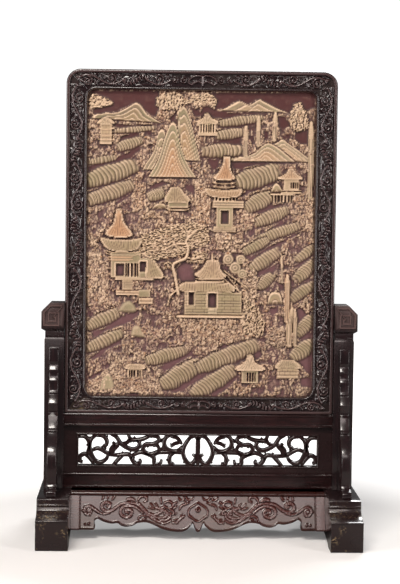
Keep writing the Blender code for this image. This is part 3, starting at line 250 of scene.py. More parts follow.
@dataclass(frozen=True)
class LayeredStone:
    """Soft carving stone in layers: maroon below, olive, tan and cream above.

    The carver cuts through the upper layers down to the dark one. It is worn smooth but not polished.
    Low on the panel the dark ground is painted lighter and more mauve: painted light.
    """

    maroon: str = "#450F0D"
    painted_lit_ground: str = "#694345"
    olive: str = "#7F7A54"
    tan: str = "#967566"
    orange: str = "#B5835A"
    cream: str = "#D8BA9C"
    crevice: str = "#38211F"
    painted_light_turns_mm: tuple[float, float] = (430.0, 560.0)
    roughness: float = 0.62

    def material(self) -> Material:
        """Build the material, which reads the relief's tones from the mesh.

        Returns:
            The material.
        """
        made, add, shader = blank_material("layered_carving_stone")
        place = add("ShaderNodeTexCoord").outputs["Object"]
        tones = add("ShaderNodeAttribute", {"attribute_name": "tones"})
        parts = add("ShaderNodeSeparateColor", {}, {0: tones.outputs["Color"]}).outputs
        layer, warm, pale = parts[0], parts[1], parts[2]
        shade = tones.outputs["Alpha"]
        # Painted light: low on the panel the ground takes the lighter mauve colour, higher up the maroon.
        height = add("ShaderNodeSeparateXYZ", {}, {0: place}).outputs[2]
        high = add("ShaderNodeMapRange", {"From Min": self.painted_light_turns_mm[0] * MM,
            "From Max": self.painted_light_turns_mm[1] * MM}, {"Value": height}).outputs[0]
        cloud = add("ShaderNodeTexNoise", {"Scale": 22.0, "Detail": 4.0, "Roughness": 0.6},
            {"Vector": place}).outputs["Fac"]
        speck = add("ShaderNodeTexNoise", {"Scale": 420.0, "Detail": 3.0, "Roughness": 0.7},
            {"Vector": place}).outputs["Fac"]
        ground = add("ShaderNodeMix", {"data_type": "RGBA", 6: linear(self.painted_lit_ground),
            7: linear(self.maroon)}, {0: high}).outputs[2]
        crumbly = add("ShaderNodeAttribute", {"attribute_name": "crumbly"}).outputs["Fac"]
        mottled = add("ShaderNodeMapRange", {"From Min": 0.35, "From Max": 0.65, "To Max": 0.45},
            {"Value": cloud}).outputs[0]
        drift = add("ShaderNodeMath", {"operation": "MULTIPLY_ADD", 1: 0.62, "use_clamp": True},
            {0: crumbly, 2: mottled}).outputs[0]
        upper = add("ShaderNodeMix", {"data_type": "RGBA", 6: linear(self.olive),
            7: linear(self.tan)}, {0: drift}).outputs[2]
        warmed = add("ShaderNodeMix", {"data_type": "RGBA", 7: linear(self.orange)},
            {0: warm, 6: upper}).outputs[2]
        topped = add("ShaderNodeMix", {"data_type": "RGBA"},
            {0: layer, 6: ground, 7: warmed}).outputs[2]
        paled = add("ShaderNodeMix", {"data_type": "RGBA", 7: linear(self.cream)},
            {0: pale, 6: topped}).outputs[2]
        # The shade tone darkens cuts and crevices toward the crevice colour: partly dark stone, partly painted
        # shade.
        shaded = add("ShaderNodeMix", {"data_type": "RGBA", 7: linear(self.crevice)},
            {0: shade, 6: paled}).outputs[2]
        freckles = add("ShaderNodeMapRange", {"From Min": 0.3, "From Max": 0.7, "To Min": 0.86,
            "To Max": 1.12}, {"Value": speck}).outputs[0]
        colour = add("ShaderNodeVectorMath", {"operation": "SCALE"},
            {0: shaded, "Scale": freckles}).outputs[0]
        grit = add("ShaderNodeBump", {"Strength": 0.35, "Distance": 0.0003},
            {"Height": speck}).outputs[0]
        connect([(colour, shader.inputs["Base Color"]), (grit, shader.inputs["Normal"])])
        shader.inputs["Roughness"].default_value = self.roughness
        shader.inputs["IOR"].default_value = 1.55
        return made


@dataclass(frozen=True)
class PaleFloor:
    """A sheet of matt white card that glows a little, more so away from the screen."""

    colour: str = "#F4F3F2"
    subdued: str = "#8C8A88"
    glow: float = 0.12
    reach: tuple[float, float] = (0.36, 0.8)

    def material(self) -> Material:
        """Build the material.

        Returns:
            The material.
        """
        made, add, shader = blank_material("white_card")
        seen = add("ShaderNodeLightPath").outputs["Is Camera Ray"]
        colour = add("ShaderNodeMix", {"data_type": "RGBA", 6: linear(self.subdued),
            7: linear(self.colour)}, {0: seen}).outputs[2]
        place = add("ShaderNodeTexCoord").outputs["Object"]
        away = add("ShaderNodeVectorMath", {"operation": "LENGTH"}, {0: place}).outputs["Value"]
        brighter = add("ShaderNodeMapRange", {"From Min": self.reach[0], "From Max": self.reach[1],
            "To Min": self.glow, "To Max": 1.1}, {"Value": away}).outputs[0]
        glow = add("ShaderNodeMath", {"operation": "MULTIPLY"}, {0: seen, 1: brighter}).outputs[0]
        connect([(colour, shader.inputs["Base Color"]), (glow, shader.inputs["Emission Strength"])])
        shader.inputs["Roughness"].default_value = 0.9
        shader.inputs["Specular IOR Level"].default_value = 0.1
        shader.inputs["Emission Color"].default_value = linear(self.colour)
        return made


# Lines and noise

def smooth(points: Line, steps: int = 5) -> list[Point]:
    """Return a curve through the points, with this many steps between each two.

    Args:
        points: the points.
        steps: the number of steps.

    Returns:
        The points of the curve.
    """
    line = [points[0], *points, points[-1]]
    curve = []
    for a, b, c, d in zip(line, line[1:], line[2:], line[3:]):
        for step in range(steps):
            t = step / steps
            curve.append(tuple(0.5 * (2 * q + (r - p) * t + (2 * p - 5 * q + 4 * r - s) * t * t
                + (3 * q - p - 3 * r + s) * t ** 3) for p, q, r, s in zip(a, b, c, d)))
    curve.append(tuple(points[-1]))
    return curve


def spiral(centre: Point, radius: float, start: float, turns: float, shrink: float = 0.15,
        steps: int = 18) -> list[Point]:
    """Return points that wind inwards from a radius, from a start angle in degrees.

    Args:
        centre: its middle.
        radius: where it starts.
        start: the angle it starts at.
        turns: how often it winds, negative clockwise.
        shrink: the share of the radius that is left at the end.
        steps: the number of steps.

    Returns:
        The points, from the outside inwards.
    """
    points = []
    for step in range(steps + 1):
        share = step / steps
        angle = math.radians(start) + 2 * math.pi * turns * share
        reach = radius * (1 - (1 - shrink) * share)
        points.append((centre[0] + reach * math.cos(angle), centre[1] + reach * math.sin(angle)))
    return points


def mirrored(points: Line) -> list[Point]:
    """Return points mirrored left to right."""
    return [(-x, z) for x, z in points]


def pairs(numbers: Numbers, unit: float = 1000.0) -> list[Point]:
    """Return points from numbers that run across, up, across, up, each in parts of a unit."""
    return [(across / unit, up / unit) for across, up in zip(numbers[::2], numbers[1::2])]


def ramp(value: Array, low: float, high: float) -> Array:
    """Return a soft step from 0 at low to 1 at high."""
    share = np.clip((value - low) / (high - low), 0.0, 1.0)
    return share * share * (3 - 2 * share)


def chance(column: Array, row: Array, seed: int) -> Array:
    """Return a repeatable value from 0 to 1 for each whole-number cell.

    Args:
        column: the cells' columns.
        row: their rows.
        seed: which arrangement.

    Returns:
        One value for each cell.
    """
    mixed = column.astype(np.int64) * 374761393 + row.astype(np.int64) * 668265263 + seed * 974711
    mixed &= 0xFFFFFFFF
    mixed = ((mixed ^ (mixed >> 13)) * 1274126177) & 0xFFFFFFFF
    return ((mixed ^ (mixed >> 16)) & 0xFFFF) / 65535.0


def clouds(x: Array, z: Array, size: float, seed: int) -> Array:
    """Return soft noise from 0 to 1 with features of a size.

    Args:
        x: places across.
        z: places up.
        size: the size.
        seed: which arrangement.

    Returns:
        One value for each place.
    """
    u, v = x / size, z / size
    column, row = np.floor(u), np.floor(v)
    s, t = ramp(u - column, 0.0, 1.0), ramp(v - row, 0.0, 1.0)
    low = chance(column, row, seed) * (1 - s) + chance(column + 1, row, seed) * s
    high = chance(column, row + 1, seed) * (1 - s) + chance(column + 1, row + 1, seed) * s
    return low * (1 - t) + high * t


def pebbles(x: Array, z: Array, size: float, seed: int) -> tuple[Array, Array, Array]:
    """Split a plane into pebble-like cells.

    Args:
        x: places across.
        z: places up.
        size: the spacing of the pebbles.
        seed: which arrangement.

    Returns:
        The distance to the nearest centre and the second nearest one, in spacings, and a number
        from 0 to 1 that belongs to the pebble.
    """
    u, v = x / size, z / size
    column, row = np.floor(u), np.floor(v)
    first = np.full(u.shape, 9.0)
    second = np.full(u.shape, 9.0)
    own = np.zeros(u.shape)
    for across in (-1, 0, 1):
        for up in (-1, 0, 1):
            c, r = column + across, row + up
            centre_u = c + chance(c, r, seed)
            centre_v = r + chance(c, r, seed + 7)
            away = np.hypot(u - centre_u, v - centre_v)
            nearer = away < first
            second = np.where(nearer, first, np.minimum(second, away))
            own = np.where(nearer, chance(c, r, seed + 13), own)
            first = np.where(nearer, away, first)
    return first, second, own


def spread(field_values: Array, reach: int) -> Array:
    """Return values averaged over a square of cells around each one.

    Args:
        field_values: the values.
        reach: the cells on each side of the middle one.

    Returns:
        The averages, as many as the values.
    """
    result = field_values
    for axis in (0, 1):
        widths = [(reach, reach) if a == axis else (0, 0) for a in (0, 1)]
        padded = np.pad(result, widths, mode="edge")
        sums = np.cumsum(padded, axis=axis)
        sums = np.insert(sums, 0, 0.0, axis=axis)
        count = result.shape[axis]
        high = np.take(sums, np.arange(count) + 2 * reach + 1, axis=axis)
        low = np.take(sums, np.arange(count), axis=axis)
        result = (high - low) / (2 * reach + 1)
    return result


def near_line(u: Array, v: Array, points: Line, halves: Numbers) -> Array:
    """Return how far places lie from a line, as a share of its half width there.

    Args:
        u: places across.
        v: places up.
        points: the line.
        halves: its half width at each point.

    Returns:
        The distances; 1 is the edge of the stroke.
    """
    best = np.full(u.shape, np.inf)
    for place in range(len(points) - 1):
        (x0, z0), (x1, z1) = points[place], points[place + 1]
        run, rise = x1 - x0, z1 - z0
        length = run * run + rise * rise or 1e-9
        t = np.clip(((u - x0) * run + (v - z0) * rise) / length, 0.0, 1.0)
        half = halves[place] + (halves[place + 1] - halves[place]) * t
        best = np.minimum(best, np.hypot(u - x0 - t * run, v - z0 - t * rise) / half)
    return best


def inside_distance(u: Array, v: Array, outline: Line) -> Array:
    """Return how far places lie inside an outline; negative outside.

    Args:
        u: places across.
        v: places up.
        outline: the corners, in order.

    Returns:
        The distance to the nearest edge.
    """
    away = np.full(u.shape, np.inf)
    odd = np.zeros(u.shape, bool)
    for (x0, z0), (x1, z1) in zip(outline, [*outline[1:], outline[0]]):
        run, rise = x1 - x0, z1 - z0
        length = run * run + rise * rise or 1e-9
        t = np.clip(((u - x0) * run + (v - z0) * rise) / length, 0.0, 1.0)
        away = np.minimum(away, np.hypot(u - x0 - t * run, v - z0 - t * rise))
        if z0 != z1:
            odd ^= ((z0 > v) != (z1 > v)) & (u < x0 + (v - z0) * run / rise)
    return np.where(odd, away, -away)


def taper(count: int, width: float, start: float = 0.4, end: float = 0.4) -> list[float]:
    """Return half widths for a stroke that thins towards its ends.

    Args:
        count: the number of points.
        width: the widest width.
        start: the share that is left at the start.
        end: the share that is left at the end.

    Returns:
        One half width for each point.
    """
    halves = []
    for place in range(count):
        share = place / (count - 1)
        tip = start if share < 0.5 else end
        halves.append(width / 2 * (tip + (1 - tip) * math.sin(math.pi * share) ** 0.6))
    return halves


@dataclass
class Tone:
    """How a carved form is coloured: warm towards orange, pale towards cream, dark in its cuts, partly as
    painted shade.
    """

    warm: float = 0.0
    pale: float = 0.0
    shade: float = 0.0


class Relief:
    """Heights and tones over a flat field, carved form by form."""

    def __init__(self, left: float, right: float, bottom: float, top: float, step: float) -> None:
        """Lay out an empty field between its edges, with about this step.

        Args:
            left: the left edge.
            right: the right edge.
            bottom: the lower edge.
            top: the upper edge.
            step: the distance between places.
        """
        self.us = np.linspace(left, right, round((right - left) / step) + 1)
        self.vs = np.linspace(bottom, top, round((top - bottom) / step) + 1)
        self.height = np.zeros((len(self.us), len(self.vs)))
        self.tones = {name: np.zeros_like(self.height) for name in ("warm", "pale", "shade", "rocky")}

    def window(self, points: Line, reach: float) -> tuple[tuple[slice, slice], Array, Array]:
        """Return the part of the field around some points, and the places in it.

        Args:
            points: the places.
            reach: how far the part stands off from them.

        Returns:
            The slices of the part, its places across and its places up.
        """
        us = [p[0] for p in points]
        vs = [p[1] for p in points]
        across = slice(*np.searchsorted(self.us, (min(us) - reach, max(us) + reach)))
        up = slice(*np.searchsorted(self.vs, (min(vs) - reach, max(vs) + reach)))
        u, v = np.meshgrid(self.us[across], self.vs[up], indexing="ij")
        return (across, up), u, v

    def lay(self, where: tuple[slice, slice], height: Array, **tones: Array | float) -> None:
        """Lay a form over what is there, wherever it is higher, with its tones.

        Args:
            where: the part of the field.
            height: the form's heights there.
            tones: its tones by name.
        """
        if not height.size:
            return
        over = height > self.height[where]
        self.height[where] = np.where(over, height, self.height[where])
        for name, field_tones in self.tones.items():
            field_tones[where] = np.where(over, tones.get(name, 0.0), field_tones[where])

    def stroke(self, points: Line, width: float, height: float, base: float = 0.0,
            tips: tuple[float, float] = (0.4, 0.4), groove: float = 0.0, tone: Tone = Tone()) -> None:
        """Raise a rounded stroke along a line.

        Args:
            points: the line.
            width: the widest width.
            height: the height of its crest above the field.
            base: the height that its rounding starts from.
            tips: the share of the width that is left at its start and end.
            groove: the share of the height that is cut along its middle.
            tone: its colours.
        """
        where, u, v = self.window(points, width)
        if not u.size:
            return
        share = near_line(u, v, points, taper(len(points), width, *tips))
        crest = np.sqrt(np.clip(1 - share * share, 0.0, 1.0))
        crest = crest * (1 - groove * (1 - ramp(share, 0.0, 0.45)))
        rise = np.where(share < 1, base + (height - base) * crest, 0.0)
        self.lay(where, rise, warm=tone.warm, pale=tone.pale * crest, shade=tone.shade)

    def bud(self, centre: Point, radius: float, height: float, base: float = 0.0, tone: Tone = Tone()) -> None:
        """Raise a round bud.

        Args:
            centre: its middle.
            radius: its radius.
            height: the height of its top.
            base: the height that it starts from.
            tone: its colours.
        """
        where, u, v = self.window([centre], radius)
        share = np.hypot(u - centre[0], v - centre[1]) / radius
        rise = np.where(share < 1, base + (height - base) * np.sqrt(np.clip(1 - share ** 2, 0, 1)), 0.0)
        self.lay(where, rise, warm=tone.warm, pale=tone.pale, shade=tone.shade)

    def plate(self, outline: Line, height: float, edge: float, tone: Tone = Tone(), rim: float = 0.0) -> None:
        """Raise a flat form with a sloping edge of a width, and a pale rim line.

        Args:
            outline: its corners.
            height: the height of the flat.
            edge: the width of the slope.
            tone: its colours.
            rim: how pale the rim line is.
        """
        where, u, v = self.window(outline, edge)
        deep = inside_distance(u, v, outline)
        rise = np.where(deep > 0, height * ramp(deep, -edge * 0.6, edge), 0.0)
        line = rim * (1 - ramp(np.abs(deep - edge), 0.0, 1.0))
        self.lay(where, rise, warm=tone.warm, pale=np.maximum(tone.pale, line), shade=tone.shade)

    def hollow(self, outline: Line, height: float, edge: float, shade: float = 0.0) -> None:
        """Cut a form down to a height inside an outline.

        Args:
            outline: its corners.
            height: the height of the floor.
            edge: the width of its sides.
            shade: how dark the floor is, as painted shade.
        """
        where, u, v = self.window(outline, edge)
        deep = inside_distance(u, v, outline)
        floor = height + (self.height[where] - height) * (1 - ramp(deep, 0.0, edge))
        cut = (deep > 0) & (floor < self.height[where])
        self.height[where] = np.where(cut, floor, self.height[where])
        for name in ("warm", "pale", "rocky"):
            self.tones[name][where] = np.where(cut, 0.0, self.tones[name][where])
        self.tones["shade"][where] = np.where(cut, shade, self.tones["shade"][where])

    def groove(self, points: Line, width: float, depth: float, shade: float = 0.5) -> None:
        """Cut a line into what is there.

        Args:
            points: the line.
            width: its width.
            depth: how far it is cut.
            shade: how dark the cut is, as painted shade.
        """
        where, u, v = self.window(points, width)
        if not u.size:
            return
        share = near_line(u, v, points, [width / 2] * len(points))
        cut = np.clip(1 - share * share, 0.0, 1.0)
        self.height[where] = np.maximum(self.height[where] - depth * cut, 0.0)
        self.tones["shade"][where] = np.maximum(self.tones["shade"][where], shade * cut)

    def sample(self, u: Array, v: Array) -> Array:
        """Return heights at places anywhere in the field.

        Args:
            u: places across.
            v: places up.

        Returns:
            One height for each place.
        """
        column = np.clip((u - self.us[0]) / (self.us[1] - self.us[0]), 0, len(self.us) - 1.001)
        row = np.clip((v - self.vs[0]) / (self.vs[1] - self.vs[0]), 0, len(self.vs) - 1.001)
        c, r = column.astype(int), row.astype(int)
        s, t = column - c, row - r
        low = self.height[c, r] * (1 - s) + self.height[c + 1, r] * s
        high = self.height[c, r + 1] * (1 - s) + self.height[c + 1, r + 1] * s
        return low * (1 - t) + high * t


# Meshes

def new_object(name: str, data: ID) -> Object:
    """Return a new object in the scene.

    Args:
        name: its name.
        data: its mesh, curve, camera or light.

    Returns:
        The object.
    """
    item = bpy.data.objects.new(name, data)
    bpy.context.scene.collection.objects.link(item)
    return item


def make_piece(name: str, points: Array, faces: Sequence[Sequence[int]],
        attributes: dict[str, Array] | None = None) -> Object:
    """Make a mesh object from places in millimetres.

    Args:
        name: the piece's name.
        points: one row of x, y and z for each corner.
        faces: the corners of each face.
        attributes: values for each corner, one number or four.

    Returns:
        The new object, at the origin.
    """
    mesh = bpy.data.meshes.new(name)
    mesh.from_pydata((np.asarray(points, float) * MM).tolist(), [], [tuple(map(int, f)) for f in faces])
    for title, values in (attributes or {}).items():
        if values.ndim == 2:
            layer = mesh.attributes.new(title, "FLOAT_COLOR", "POINT")
            layer.data.foreach_set("color", values.astype(np.float32).ravel())
        else:
            layer = mesh.attributes.new(title, "FLOAT", "POINT")
            layer.data.foreach_set("value", values.astype(np.float32))
    return new_object(name, mesh)


def quads(rows: int, columns: int, ring: bool = False) -> Array:
    """Return the faces of a grid of corners, row by row; a ring joins its last row to its first.

    Args:
        rows: the number of rows.
        columns: the corners in a row.
        ring: whether it is a ring.

    Returns:
        Four corners for each face.
    """
    row = np.arange(rows if ring else rows - 1)[:, None]
    column = np.arange(columns - 1)[None, :]
    here = row * columns + column
    there = (row + 1) % rows * columns + column
    return np.stack([here, here + 1, there + 1, there], -1).reshape(-1, 4)


def point_outwards(item: Object) -> None:
    """Turn an object's faces so that they point out.

    Args:
        item: the object.
    """
    form = bmesh.new()
    form.from_mesh(item.data)
    bmesh.ops.recalc_face_normals(form, faces=form.faces)
    form.to_mesh(item.data)
    form.free()


def shade_smooth(item: Object, angle: float = 35.0) -> None:
    """Shade a mesh smooth, with sharp edges where it turns by more than an angle in degrees."""
    item.data.shade_smooth()
    item.data.set_sharp_from_angle(angle=math.radians(angle))


def dress(item: Object, material: Material, slot: str, *nodes: str) -> None:
    """Give a piece its finish, its body, its material slot and the solids that it stands for.

    Args:
        item: the piece.
        material: its finish.
        slot: the slot's name; not used.
        nodes: the solids that it replaces.
    """
    item.data.materials.clear()
    item.data.materials.append(material)
    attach(item, BODY)
    if nodes:
        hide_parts(*nodes)
    triangles = sum(len(face.vertices) - 2 for face in item.data.polygons)
    LOG.info("%s: %d triangles", item.name, triangles)


def plain_mesh(item: Object) -> None:
    """Replace an object's mesh by the one that its modifiers make, and drop the modifiers.

    Args:
        item: the object.
    """
    graph = bpy.context.evaluated_depsgraph_get()
    mesh = bpy.data.meshes.new_from_object(item.evaluated_get(graph))
    item.modifiers.clear()
    item.data = mesh


def soften(item: Object, width: float, segments: int = 3, angle: float = 28.0) -> None:
    """Round an object's edges by a width in millimetres, where it turns by more than an angle.

    Args:
        item: the object.
        width: the width.
        segments: the steps of the rounding.
        angle: the least turn in degrees.
    """
    bevel = item.modifiers.new("softened", "BEVEL")
    bevel.width = width * MM
    bevel.segments = segments
    bevel.limit_method = "ANGLE"
    bevel.angle_limit = math.radians(angle)
    bevel.harden_normals = False
    plain_mesh(item)
    shade_smooth(item)


def copied(node: str, name: str) -> Object:
    """Return a copy of a solid's mesh as a new object, with its doubled corners merged.

    Args:
        node: the solid's name.
        name: the new object's name.

    Returns:
        The new object.
    """
    source = bpy.data.objects[node]
    mesh = source.data.copy()
    mesh.transform(source.matrix_world)
    form = bmesh.new()
    form.from_mesh(mesh)
    bmesh.ops.remove_doubles(form, verts=form.verts, dist=0.00002)
    bmesh.ops.dissolve_limit(form, angle_limit=math.radians(1.0), verts=form.verts, edges=form.edges)
    form.to_mesh(mesh)
    form.free()
    return new_object(name, mesh)


def loft(loops: Sequence[Sequence[Sequence[float]]], ring: bool = False) -> tuple[list, list]:
    """Skin closed loops of equal length and return corners and faces; a ring has no end caps.

    Args:
        loops: the loops, in order.
        ring: whether the last loop joins the first one.

    Returns:
        The corners and the faces.
    """
    size, count = len(loops[0]), len(loops)
    faces = []
    for row in range(count if ring else count - 1):
        here, there = row * size, (row + 1) % count * size
        for column in range(size):
            step = (column + 1) % size
            faces.append((here + column, here + step, there + step, there + column))
    if not ring:
        faces += [tuple(range(size)), tuple(range((count - 1) * size, count * size))]
    return [point for loop in loops for point in loop], faces


# Sizes in the object's frame

HALF_WIDTH, FRAME_BASE, FRAME_TOP, HALF_DEPTH = 191.0, 173.9, 660.1, 13.0
HALF_SIGHT, SIGHT_BOTTOM, SIGHT_TOP, SIGHT_RADIUS = 161.0, 198.9, 631.6, 12.0
OUTER_BEAD, INNER_BEAD, FIELD_FACE = 5.0, 4.5, -9.5
OUTER_RADIUS, FOOT_RADIUS = 20.0, 2.0
SLAB_FACE, SLAB_BACK, SLAB_REACH, RELIEF_TOP = -4.0, 6.0, 5.7, 6.7
SLAB_GROOVE, SLAB_GAP = 6.0, 0.3
CARVING = 3.0
EDGE_ROUNDING, RUBBLE_MARGIN = 2.2, 0.6


# Stone panel

# Places run x, z, x, z in thousandths of the panel.
# Cuts through to the dark layer
CHANNELS = (
    (-492, 995, -188, 998, -187, 956, -199, 914, -212, 914, -234, 923, -252, 936, -274, 955, -292, 960, -317,
     951, -361, 935, -391, 927, -478, 921, -478, 940, -426, 949, -391, 951, -392, 960, -426, 976),
    (-391, 891, -299, 887, -173, 892, -195, 882, -290, 880, -360, 875, -386, 881),
    (-355, 848, -334, 854, -273, 864, -273, 850, -325, 833, -359, 829),
    (-496, 749, -446, 761, -389, 771, -354, 788, -316, 801, -272, 820, -267, 806, -307, 782, -341, 769, -389,
     758, -445, 748, -495, 735),
    (-495, 667, -445, 682, -380, 708, -323, 732, -289, 737, -327, 714, -384, 691, -444, 666, -492, 652),
    (-227, 681, -201, 699, -170, 707, -133, 698, -174, 689, -209, 679),
    (-379, 634, -344, 647, -305, 667, -301, 661, -335, 641, -370, 626),
    (-74, 695, -30, 691, -8, 689, -30, 663, -52, 671, -69, 676),
    (-143, 910, -111, 936, -111, 924, -125, 900, -138, 899), (-238, 868, -218, 867, -229, 854, -239, 857),
    (-234, 824, -210, 824, -220, 809, -234, 813), (-56, 948, -30, 942, -10, 948, -9, 916, -34, 916),
    (43, 995, 493, 1000, 499, 953, 449, 933, 431, 959, 413, 959, 392, 939, 388, 930, 361, 936, 330, 947, 300,
     958, 273, 967, 251, 976, 230, 971, 203, 957, 164, 970, 142, 965, 99, 945, 58, 939, 53, 958),
    (-10, 929, 3, 945, 25, 953, 51, 942, 99, 933, 143, 930, 213, 932, 287, 928, 283, 920, 230, 925, 187, 927,
     143, 916, 100, 911, 62, 912, 39, 916, -5, 909),
    (66, 891, 144, 890, 231, 903, 231, 892, 179, 883, 122, 881, 70, 881),
    (57, 832, 101, 846, 144, 856, 176, 855, 173, 828, 101, 826, 62, 827),
    (214, 857, 230, 857, 229, 829, 216, 829), (271, 872, 292, 872, 292, 843, 275, 843),
    (331, 921, 364, 921, 395, 891, 362, 880, 335, 883), (343, 859, 383, 856, 363, 844),
    (409, 872, 430, 881, 470, 880, 471, 832, 434, 831, 407, 846),
    (456, 736, 494, 754, 500, 676, 476, 689, 461, 710), (23, 778, 81, 777, 77, 754, 55, 744, 36, 757),
    (125, 771, 277, 771, 433, 772, 409, 766, 277, 763, 216, 757, 177, 749, 141, 746),
    (176, 665, 235, 685, 300, 706, 335, 720, 336, 706, 279, 688, 218, 671, 178, 657),
    (243, 607, 289, 627, 351, 637, 370, 633, 316, 617, 254, 599),
    (277, 539, 325, 563, 361, 578, 367, 568, 317, 545, 282, 530),
    (375, 525, 414, 538, 440, 547, 436, 537, 397, 520),
    (-106, 419, -73, 446, -42, 434, -33, 410, -12, 379, -38, 373, -80, 370, -99, 392),
    (-495, 456, -459, 457, -459, 443, -493, 442),
    (-473, 193, -467, 210, -420, 220, -374, 248, -328, 266, -287, 281, -261, 281, -267, 265, -305, 244, -346,
     229, -397, 219, -434, 204, -466, 190),
    (-486, 121, -452, 140, -415, 161, -373, 176, -345, 187, -342, 171, -373, 160, -406, 152, -433, 131, -466,
     116),
    (-489, 59, -451, 74, -421, 82, -421, 70, -451, 58, -484, 51),
    (-249, 82, -229, 101, -198, 82, -198, 64, -228, 60),
    (-175, 96, -117, 115, -61, 140, -33, 151, -27, 138, -80, 113, -126, 92, -155, 78),
    (-132, 12, -83, 35, -37, 53, 5, 74, 6, 55, -32, 37, -69, 19, -106, 8),
    (-22, 52, 20, 74, 75, 95, 122, 110, 160, 121, 170, 109, 159, 95, 141, 98, 112, 101, 66, 83, 20, 62, -22,
     44),
    (57, 7, 104, 33, 146, 61, 169, 83, 180, 71, 160, 49, 137, 34, 114, 17, 86, 6),
    (77, 157, 111, 176, 144, 183, 140, 168, 102, 156),
    (204, 126, 242, 149, 271, 157, 282, 138, 261, 122, 243, 119, 224, 133),
    (198, 467, 218, 446, 236, 449, 273, 467, 329, 488, 384, 513, 393, 529, 356, 514, 300, 496, 254, 469, 227,
     462, 213, 471),
    (235, 401, 274, 416, 311, 427, 331, 435, 336, 419, 321, 404, 274, 404, 256, 393),
    (82, 456, 107, 464, 117, 452, 97, 437, 86, 441), (110, 428, 135, 432, 136, 410, 115, 413),
    (180, 398, 210, 405, 211, 376, 190, 379), (304, 295, 347, 299, 348, 277, 313, 269),
    (343, 371, 369, 375, 374, 349, 349, 349), (421, 479, 492, 508, 492, 496, 430, 471),
    (403, 430, 493, 456, 493, 444, 422, 426), (395, 396, 420, 400, 416, 367, 400, 367),
    (400, 337, 435, 341, 435, 318, 406, 318),
    (420, 284, 444, 300, 482, 272, 497, 269, 497, 257, 445, 243, 426, 221),
    (441, 201, 493, 213, 499, 187, 450, 187),
    (386, 135, 439, 121, 500, 144, 500, 66, 477, 83, 448, 104, 401, 123), (448, 63, 500, 64, 500, 31, 449, 34),
)

# skyline, height in mm, nested lines, warm, pale
HILLS = (
    ((-110, 772, -107, 925, -94, 940, -82, 950, -70, 940, -56, 915, -40, 875, -24, 825, -4, 770), 3.4, 6, 0.55,
     0.1),
    ((-260, 740, -245, 761, -220, 790, -202, 822, -190, 865, -165, 870, -140, 800, -120, 740), 3.2, 4, 0.1,
     0.15),
    ((-236, 716, -206, 752, -185, 790, -168, 832, -152, 870, -140, 890, -127, 897, -113, 887, -102, 850, -88,
     810, -70, 775, -44, 742, -20, 716), 4.6, 6, 0.85, 0.1),
    ((-482, 893, -474, 918, -387, 925, -352, 933, -313, 950, -291, 959, -274, 954, -256, 938, -239, 921, -212,
     909, -173, 893), 2.8, 3, 0.25, 0.0),
    ((60, 936, 95, 943, 134, 959, 164, 969, 204, 957, 225, 963, 251, 975, 273, 967, 330, 946, 380, 932), 2.6,
     2, 0.25, 0.15),
    ((290, 780, 302, 822, 333, 836, 355, 845, 381, 833, 430, 808, 470, 785, 490, 770), 3.0, 5, 0.65, 0.3),
    ((92, 771, 120, 786, 181, 788, 229, 799, 263, 822, 293, 833, 329, 822, 364, 803, 415, 772), 3.6, 4, 0.6,
     0.2),
    ((-445, 14, -432, 53, -405, 76, -381, 60, -375, 20), 3.8, 0, 0.0, 0.25),
    ((-368, 275, -343, 303, -315, 313, -292, 304, -282, 275), 3.6, 0, 0.0, 0.05),
    ((-306, 196, -295, 227, -267, 232, -250, 215, -237, 192), 4.0, 0, 0.05, 0.15),
    ((296, 300, 305, 333, 322, 346, 355, 341, 368, 302), 4.0, 1, 0.35, 0.15),
    ((304, 668, 316, 694, 331, 703, 348, 692, 361, 668), 4.4, 1, 0.3, 0.05),
    ((-222, 610, -191, 632, -158, 629, -150, 610), 4.0, 1, 0.45, 0.05),
)

# both ends, width in thousandths of the panel's height, height in mm, rib spacing in mm
BANKS = (
    ((-395, 864, -200, 878), 20, 2.4, 4.4), ((-372, 810, -268, 836), 36, 3.0, 3.8),
    ((-500, 762, -371, 781), 24, 2.4, 4.2), ((-508, 698, -282, 757), 58, 4.0, 5.6),
    ((-505, 634, -300, 692), 48, 3.5, 4.6), ((72, 894, 266, 915), 30, 2.8, 4.2),
    ((58, 853, 186, 869), 34, 3.2, 4.2), ((5, 802, 180, 808), 44, 3.6, 5.2),
    ((150, 700, 345, 742), 66, 4.2, 5.6), ((195, 618, 312, 662), 52, 3.8, 4.2),
    ((240, 570, 385, 616), 42, 3.6, 4.2), ((252, 517, 446, 567), 36, 3.2, 4.2),
    ((184, 472, 300, 517), 34, 3.4, 4.0), ((224, 420, 350, 481), 44, 3.7, 4.4),
    ((262, 360, 322, 402), 38, 3.5, 4.0), ((-505, 222, -350, 276), 44, 3.2, 4.6),
    ((-500, 150, -340, 206), 42, 3.6, 4.6), ((-240, 112, -60, 152), 44, 3.6, 4.4),
    ((-160, 34, 10, 108), 62, 4.4, 4.6), ((-18, 88, 272, 176), 56, 4.0, 4.6), ((-30, 2, 165, 92), 56, 3.8, 4.6),
    ((415, 130, 505, 178), 50, 3.5, 4.4), ((430, 206, 505, 262), 46, 3.4, 4.4),
    ((425, 386, 505, 445), 46, 3.4, 4.2), ((425, 450, 505, 496), 34, 3.2, 4.2),
    ((400, 318, 505, 372), 40, 3.0, 4.2), ((-232, 652, -160, 668), 40, 3.4, 3.6),
)

